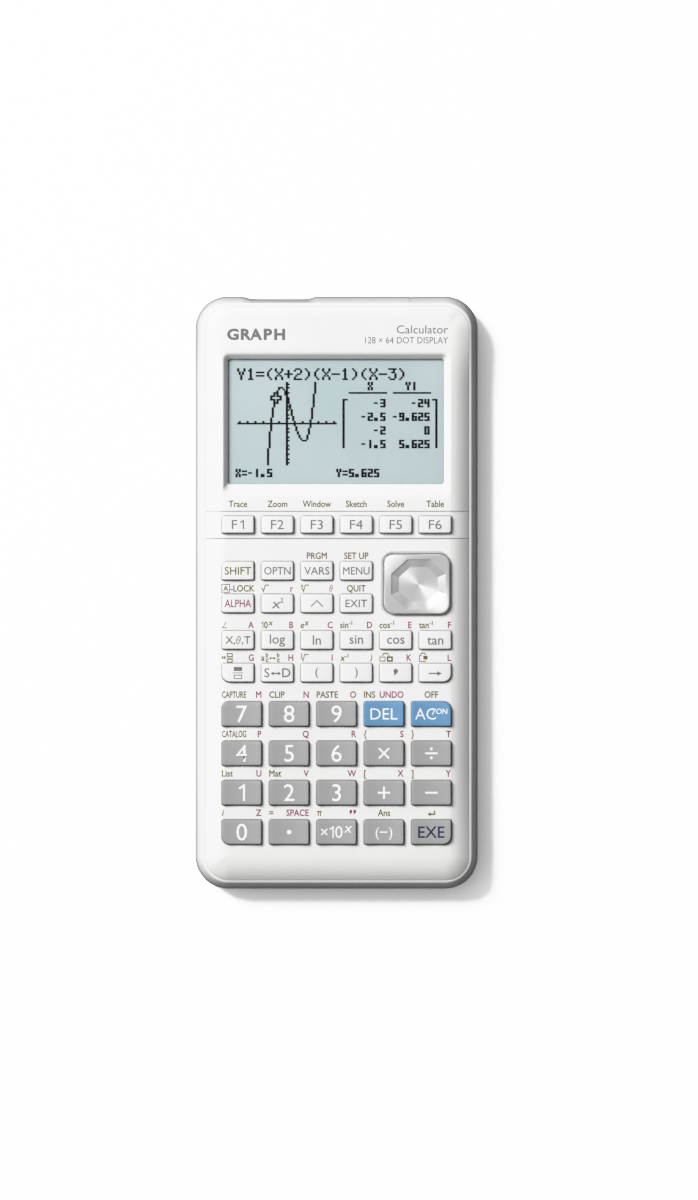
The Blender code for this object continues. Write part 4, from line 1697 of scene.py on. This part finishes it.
def make_cells_grid():
    """Curved saddles between the cells, under the bay's ceiling."""
    lofts = []
    for x in (-10.9, 0.0, 10.9):
        outline = [(-0.5, 12.3), (-0.5, 9.2), (0.0, 8.6), (0.5, 9.2), (0.5, 12.3)]
        lofts.append([[(x + u, y, z) for u, z in outline] for y in (-68.0, -26.0)])
    lofted("bay_ribs", lofts, "rear")


def make_battery_cover():
    (x0, _, _), (x1, _, _) = node_box("battery_cover")
    plate_y = (-74.9, -18.9)
    center = (0.0, sum(plate_y) / 2)
    half = ((x1 - x0) / 2, (plate_y[1] - plate_y[0]) / 2)
    rings = []
    for grow, z in ((-0.5, 0.25), (-0.2, 0.3), (0.0, 0.5), (0.0, 1.25)):
        outline = rounded(half[0] + grow, half[1] + grow, (1.3 + grow,) * 4, center, 6)
        rings.append(ring_at(outline, z))
    cover = lofted(
        "battery_door", [rings], "rear", body="battery_cover", replaces=["battery_cover"]
    )
    for y_range, z_range in (((-74.7, -73.6), (0.9, 2.1)), ((-75.9, -73.8), (1.75, 2.3))):
        carve(cover, "UNION", [bar(x, 6.0, y_range, z_range) for x in (-HOOK_X, HOOK_X)])
    carve(cover, "UNION", [bar(0.0, 8.0, (-20.9, -19.9), (0.9, 4.0))])
    stiffeners = [bar(x, 1.0, (-70.0, -24.0), (1.0, 1.5)) for x in (-16.4, -5.45, 5.45, 16.4)]
    carve(cover, "UNION", stiffeners)
    grip_y = [-24.0 - 2.2 * i for i in range(5)]
    grooves = [rounded_box((0.0, y), (9.0, 0.45), 0.42, (-0.5, 0.5)) for y in grip_y]
    carve(cover, "DIFFERENCE", grooves)
    arrow = [(0.0, -40.5), (3.2, -36.2), (-3.2, -36.2)]
    carve(cover, "DIFFERENCE", [prism(arrow, (-0.5, 0.45))])
    weigh_normals(cover, 32)


# ---------------------------------------------------------------- cells and contacts


def cell_plan(index):
    """(x, z, radius, y of the negative end, length, way the positive end points)."""
    (x0, y0, z0), (x1, y1, z1) = node_box(f"battery_{index + 1}")
    way = 1 if index % 2 == 0 else -1
    start = y0 if way == 1 else y1
    return (x0 + x1) / 2, (z0 + z1) / 2, (x1 - x0) / 2, start, y1 - y0, way


def lathe(x, z, stations, sides):
    """Rings round a line along Y from (radius, y) stations."""
    around = circle(1.0, sides=sides)
    return [[(x + r * u, y, z + r * v) for u, v in around] for r, y in stations]


def make_cell(index):
    """A dry cell: foil sleeve with rolled shoulders, steel ends and a positive nub."""
    x, z, radius, start, length, way = cell_plan(index)
    sleeve = (
        (radius - 0.7, 0.15), (radius - 0.3, 0.1), (radius - 0.08, 0.25), (radius, 0.6),
        (radius, length - 1.6), (radius - 0.08, length - 1.2), (radius - 0.35, length - 1.0),
        (radius - 0.9, length - 0.98),
    )
    steel = (
        (radius - 0.75, 0.0), (radius - 0.7, 0.2), (radius - 0.9, length - 1.0),
        (radius - 1.2, length - 0.85), (2.3, length - 0.8), (1.95, length - 0.7),
        (1.9, length - 0.15), (1.7, length),
    )
    name = f"cell_{index + 1}_"
    for part, stations, finish in (("sleeve", sleeve, "jacket"), ("can", steel, "steel")):
        placed = [(r, start + way * t) for r, t in stations]
        replaced = [f"battery_{index + 1}"] if part == "sleeve" else []
        lofted(name + part, [lathe(x, z, placed, 40)], finish, replaces=replaced)


def tube(points, radius, sides=8):
    """Rings of a round wire along a bent line."""
    rings = []
    for i, point in enumerate(points):
        before = Vector(points[max(i - 1, 0)])
        after = Vector(points[min(i + 1, len(points) - 1)])
        way = (after - before).normalized()
        side = way.cross(Vector((0.3, 1.0, 0.2))).normalized()
        up = side.cross(way)
        around = circle(radius, sides=sides)
        rings.append([tuple(Vector(point) + side * u + up * v) for u, v in around])
    return rings


def make_contacts():
    """At each cell a coil spring, a plate on either wall and a button at the positive end."""
    springs, plates = [], []
    turns, points_per_turn = 3, 16
    for index in range(4):
        x, z, _, start, length, way = cell_plan(index)
        foot = BAY_Y - way * BAY_HALF[1] + way * 0.45
        head = start - way * 0.25
        coil = []
        for k in range(turns * points_per_turn + 1):
            share = k / (turns * points_per_turn)
            angle = 2 * math.pi * k / points_per_turn
            reach = 3.4 - 1.4 * share
            y = foot + (head - foot) * share
            coil.append((x + reach * math.cos(angle), y, z + reach * math.sin(angle)))
        springs.append(tube(coil, 0.22))
        outline = rounded(4.2, 4.2, (1.2,) * 4, (x, z), 4)
        for side in (-1, 1):
            wall = BAY_Y + side * BAY_HALF[1]
            y_range = sorted((wall + side * 0.1, wall - side * 0.28))
            plates.append([[(u, y, v) for u, v in outline] for y in y_range])
        bump_y = BAY_Y + way * (BAY_HALF[1] - 0.2)
        gap = way * (bump_y - start) - length
        button = [(r, bump_y - way * t) for r, t in ((2.2, 0.05), (1.9, 0.7), (1.2, gap - 0.03))]
        plates.append(lathe(x, z, button, 20))
    lofted("contact_springs", springs, "steel", angle=60)
    lofted("contact_plates", plates, "steel")


# ---------------------------------------------------------------- small parts

JACK_X = -12.3


def make_screws():
    """Pan heads with a cross recess."""
    profile = (
        (1.5, 0.75), (1.85, 0.95), (1.95, 1.3), (1.95, SCREW_HEAD_Z), (0.9, SCREW_HEAD_Z),
        (0.9, 7.5),
    )
    for i, (x, y) in enumerate(SCREWS_XY):
        rings = [ring_at(circle(r, (x, y), 24), z) for r, z in profile]
        screw = lofted(f"screw_{i + 1}", [rings], "zinc")
        for wide, tall in ((0.5, 1.1), (2.2, 0.25)):
            carve(screw, "DIFFERENCE", [bar(x, wide, (y - tall, y + tall), (0.0, 1.6))])
        smooth(screw, 30)


def make_feet():
    for i, xy in enumerate(FEET_XY):
        rings = []
        for grow, z in ((-0.05, 0.45), (-0.05, 0.0), (-0.15, -0.15), (-0.45, -0.24)):
            rings.append(ring_at(foot_outline(1.65, grow, xy, 6), z))
        lofted(f"foot_{i + 1}", [rings], "foot")


def make_port_details():
    """The plug's tongue and the jack's collar inside the socket block."""
    (_, _, z0), (_, y1, z1) = node_box("data_port")
    middle = (z0 + z1) / 2
    tongue = prism(rectangle((-22.3, -17.9), (y1 - 5.8, y1 - 0.8)), (middle - 0.35, middle + 0.35))
    lofted("port_tongue", [tongue], "dark", slot="face_plastic")
    profile = ((1.95, -0.01), (1.95, 0.12), (1.75, 0.2), (1.35, 0.2), (1.25, -0.3))
    collar = lathe(JACK_X, middle, [(r, y1 + t) for r, t in profile], 32)
    bm = bmesh.new()
    rows = [[bm.verts.new(point) for point in ring] for ring in collar]
    for lower, upper in zip(rows, rows[1:] + rows[:1]):
        join_rows(bm, lower, upper)
    bmesh.ops.recalc_face_normals(bm, faces=bm.faces)
    new_piece("jack_collar", bm, "steel")


def make_inside():
    """Chips under the board, the display's ribbon and the restart button."""
    under = node_box("main_board")[0][2]
    plan = ((0.0, 14.0, (6.0, 6.0)), (-18.0, 12.0, (4.0, 3.0)), (16.0, 16.0, (3.0, 5.0)))
    chips = [rounded_box((x, y), half, 0.3, (under - 1.1, under + 0.05)) for x, y, half in plan]
    lofted("board_chips", chips, "dark", slot="circuit_board")
    ribbon_rings = []
    for y, drop in ((24.0, 0.15), (28.0, 0.35), (31.5, 0.6), (34.0, 0.75)):
        low, high = under - drop - 0.1, under - drop + 0.1
        ribbon_rings.append([(-14, y, low), (14, y, low), (14, y, high), (-14, y, high)])
    lofted("display_ribbon", [ribbon_rings], "jacket", slot="circuit_board")
    stations = ((0.6, 1.6), (0.75, 1.75), (0.75, 4.0))
    button = [ring_at(circle(r, RESTART_XY, 24), z) for r, z in stations]
    lofted("restart_button", [button], "foot")


NODE_FINISHES = {
    "display_window": "window",
    "lcd_panel": "display",
    "main_board": "board",
    "key_sheet": "rubber",
    "data_port": "steel",
    "cursor_pivot": "dark",
}


def finish_nodes():
    for name, finish in NODE_FINISHES.items():
        node = frame["nodes"][name]
        node.data.materials.clear()
        node.data.materials.append(MATERIALS[finish])


# ---------------------------------------------------------------- stage, light, camera

FLOOR_Z = -0.25
FLOOR_HALF = 6.0
PHOTO_CENTER = (3.68, -2.14)
PHOTO_HEIGHT = 357.0
CAMERA_Z = 3000.0
COVER_ROOM = 62.0
HIGHLIGHT_KNEE = ((0.0, 0.0), (0.86, 0.86), (1.0, 0.925), (1.3, 0.965), (2.0, 0.99), (4.0, 1.0))
LIGHT_WAY = Vector((-0.765, 0.644, 0.0)).normalized()
LIGHT_RISE = math.radians(50)


def stage_floor():
    """A wide plain floor just under the feet."""
    mesh = bpy.data.meshes.new("floor")
    reach = (-FLOOR_HALF, FLOOR_HALF)
    mesh.from_pydata(ring_at(rectangle(reach, reach), 0.0), [], [(0, 1, 2, 3)])
    floor = bpy.data.objects.new("floor", mesh)
    floor.location.z = MM * FLOOR_Z
    bpy.context.scene.collection.objects.link(floor)
    mesh.materials.append(make_material("floor", pale_floor))
    lower_floor(floor)


def pale_floor(nodes, _):
    """Bright to the camera, dim to the object, and clear when seen from below."""
    ray = nodes.add("LightPath")
    seen = nodes.add("BsdfDiffuse", {"Color": (3.05, 3.05, 3.05, 1)})
    unseen = nodes.add("BsdfDiffuse", {"Color": (0.25, 0.25, 0.25, 1)})
    above = nodes.mix_shaders(ray.outputs["Is Camera Ray"], unseen, seen)
    spaces = {"vector_type": "POINT", "convert_from": "CAMERA", "convert_to": "WORLD"}
    eye = nodes.add("VectorTransform", {0: (0.0, 0.0, 0.0)}, **spaces).outputs[0]
    eye_z = nodes.add("SeparateXYZ", {0: eye}).outputs[2]
    below = nodes.math("LESS_THAN", eye_z, MM * FLOOR_Z)
    nodes.close(nodes.mix_shaders(below, above, nodes.add("BsdfTransparent")))


def lower_floor(floor):
    """Makes room under the case for the battery cover as it swings open."""
    driver = floor.driver_add("location", 2).driver
    opened = driver.variables.new()
    opened.name = "opened"
    opened.type = "TRANSFORMS"
    opened.targets[0].id = bpy.data.objects["body:battery_cover"]
    opened.targets[0].transform_type = "ROT_X"
    opened.targets[0].transform_space = "WORLD_SPACE"
    driver.expression = f"{MM * FLOOR_Z} - {MM * COVER_ROOM} * abs(sin(opened))"


def light_world():
    """White to the camera; to the object, bright from the upper left and dim opposite."""
    world = bpy.data.worlds.new("studio")
    bpy.context.scene.world = world
    world.use_nodes = True
    nodes = Nodes(world.node_tree)
    way = nodes.add("TexCoord").outputs["Generated"]
    facing = {0: way, 1: tuple(LIGHT_WAY)}
    side = nodes.add("VectorMath", facing, operation="DOT_PRODUCT").outputs["Value"]
    up = nodes.math("MAXIMUM", nodes.add("SeparateXYZ", {0: way}).outputs[2], 0.0)
    toward = nodes.math("MAXIMUM", side, 0.0)
    top = nodes.math("MULTIPLY", nodes.math("POWER", up, 3.0), 0.45)
    left = nodes.math("MULTIPLY", nodes.math("POWER", toward, 1.2), 0.9)
    glow = nodes.math("ADD", nodes.math("ADD", top, left), 0.03)
    camera_ray = nodes.add("LightPath").outputs["Is Camera Ray"]
    strength = nodes.add("Mix", {0: camera_ray, 2: glow, 3: 4.0}, data_type="FLOAT").outputs[0]
    background = nodes.add("Background", {"Strength": strength}).outputs[0]
    nodes.add("OutputWorld", {"Surface": background})


def add_area(name, way, distance, size, power, target=(0.0, 0.0, 0.0)):
    data = bpy.data.lights.new(name, "AREA")
    data.shape = "DISK"
    data.size = size
    data.energy = power
    lamp = bpy.data.objects.new(name, data)
    way = Vector(way).normalized()
    lamp.location = Vector(target) + way * distance
    lamp.rotation_euler = way.to_track_quat("Z", "Y").to_euler()
    bpy.context.scene.collection.objects.link(lamp)
    return lamp


def set_camera():
    data = bpy.data.cameras.new("photo_camera")
    data.sensor_fit = "VERTICAL"
    data.sensor_height = 24.0
    data.lens = 24.0 * CAMERA_Z / PHOTO_HEIGHT
    data.clip_end = 50.0
    camera = bpy.data.objects.new("photo_camera", data)
    camera.location = (MM * PHOTO_CENTER[0], MM * PHOTO_CENTER[1], MM * CAMERA_Z)
    bpy.context.scene.collection.objects.link(camera)
    bpy.context.scene.camera = camera


def develop():
    """Standard colours, with the brightest tones eased towards white."""
    view = bpy.context.scene.view_settings
    view.view_transform = "Standard"
    view.use_curve_mapping = True
    mapping = view.curve_mapping
    mapping.clip_max_x = HIGHLIGHT_KNEE[-1][0]
    curve = mapping.curves[3]
    for point, place in zip(curve.points, (HIGHLIGHT_KNEE[0], HIGHLIGHT_KNEE[-1])):
        point.location = place
    for place in HIGHLIGHT_KNEE[1:-1]:
        curve.points.new(*place)
    for point in curve.points:
        point.handle_type = "VECTOR"
    mapping.update()


def light_scene():
    way = LIGHT_WAY * math.cos(LIGHT_RISE) + Vector((0, 0, 1)) * math.sin(LIGHT_RISE)
    add_area("key_light", way, 1.3, 0.585, 16.9)
    add_area("under_fill", (-0.3, -0.2, -1.0), 1.5, 1.5, 14.0)
    light_world()
    develop()


# ---------------------------------------------------------------- build


def build():
    finish_nodes()
    make_front_case()
    for name in KEY_NODES:
        make_key(name)
    print_key_labels()
    print_face_legends()
    make_display_dots()
    make_cursor_pad()
    make_key_sheet()
    make_rear_case()
    make_cells_grid()
    make_battery_cover()
    for index in range(4):
        make_cell(index)
    make_contacts()
    make_screws()
    make_feet()
    make_port_details()
    make_inside()
    stage_floor()
    light_scene()
    set_camera()


build()
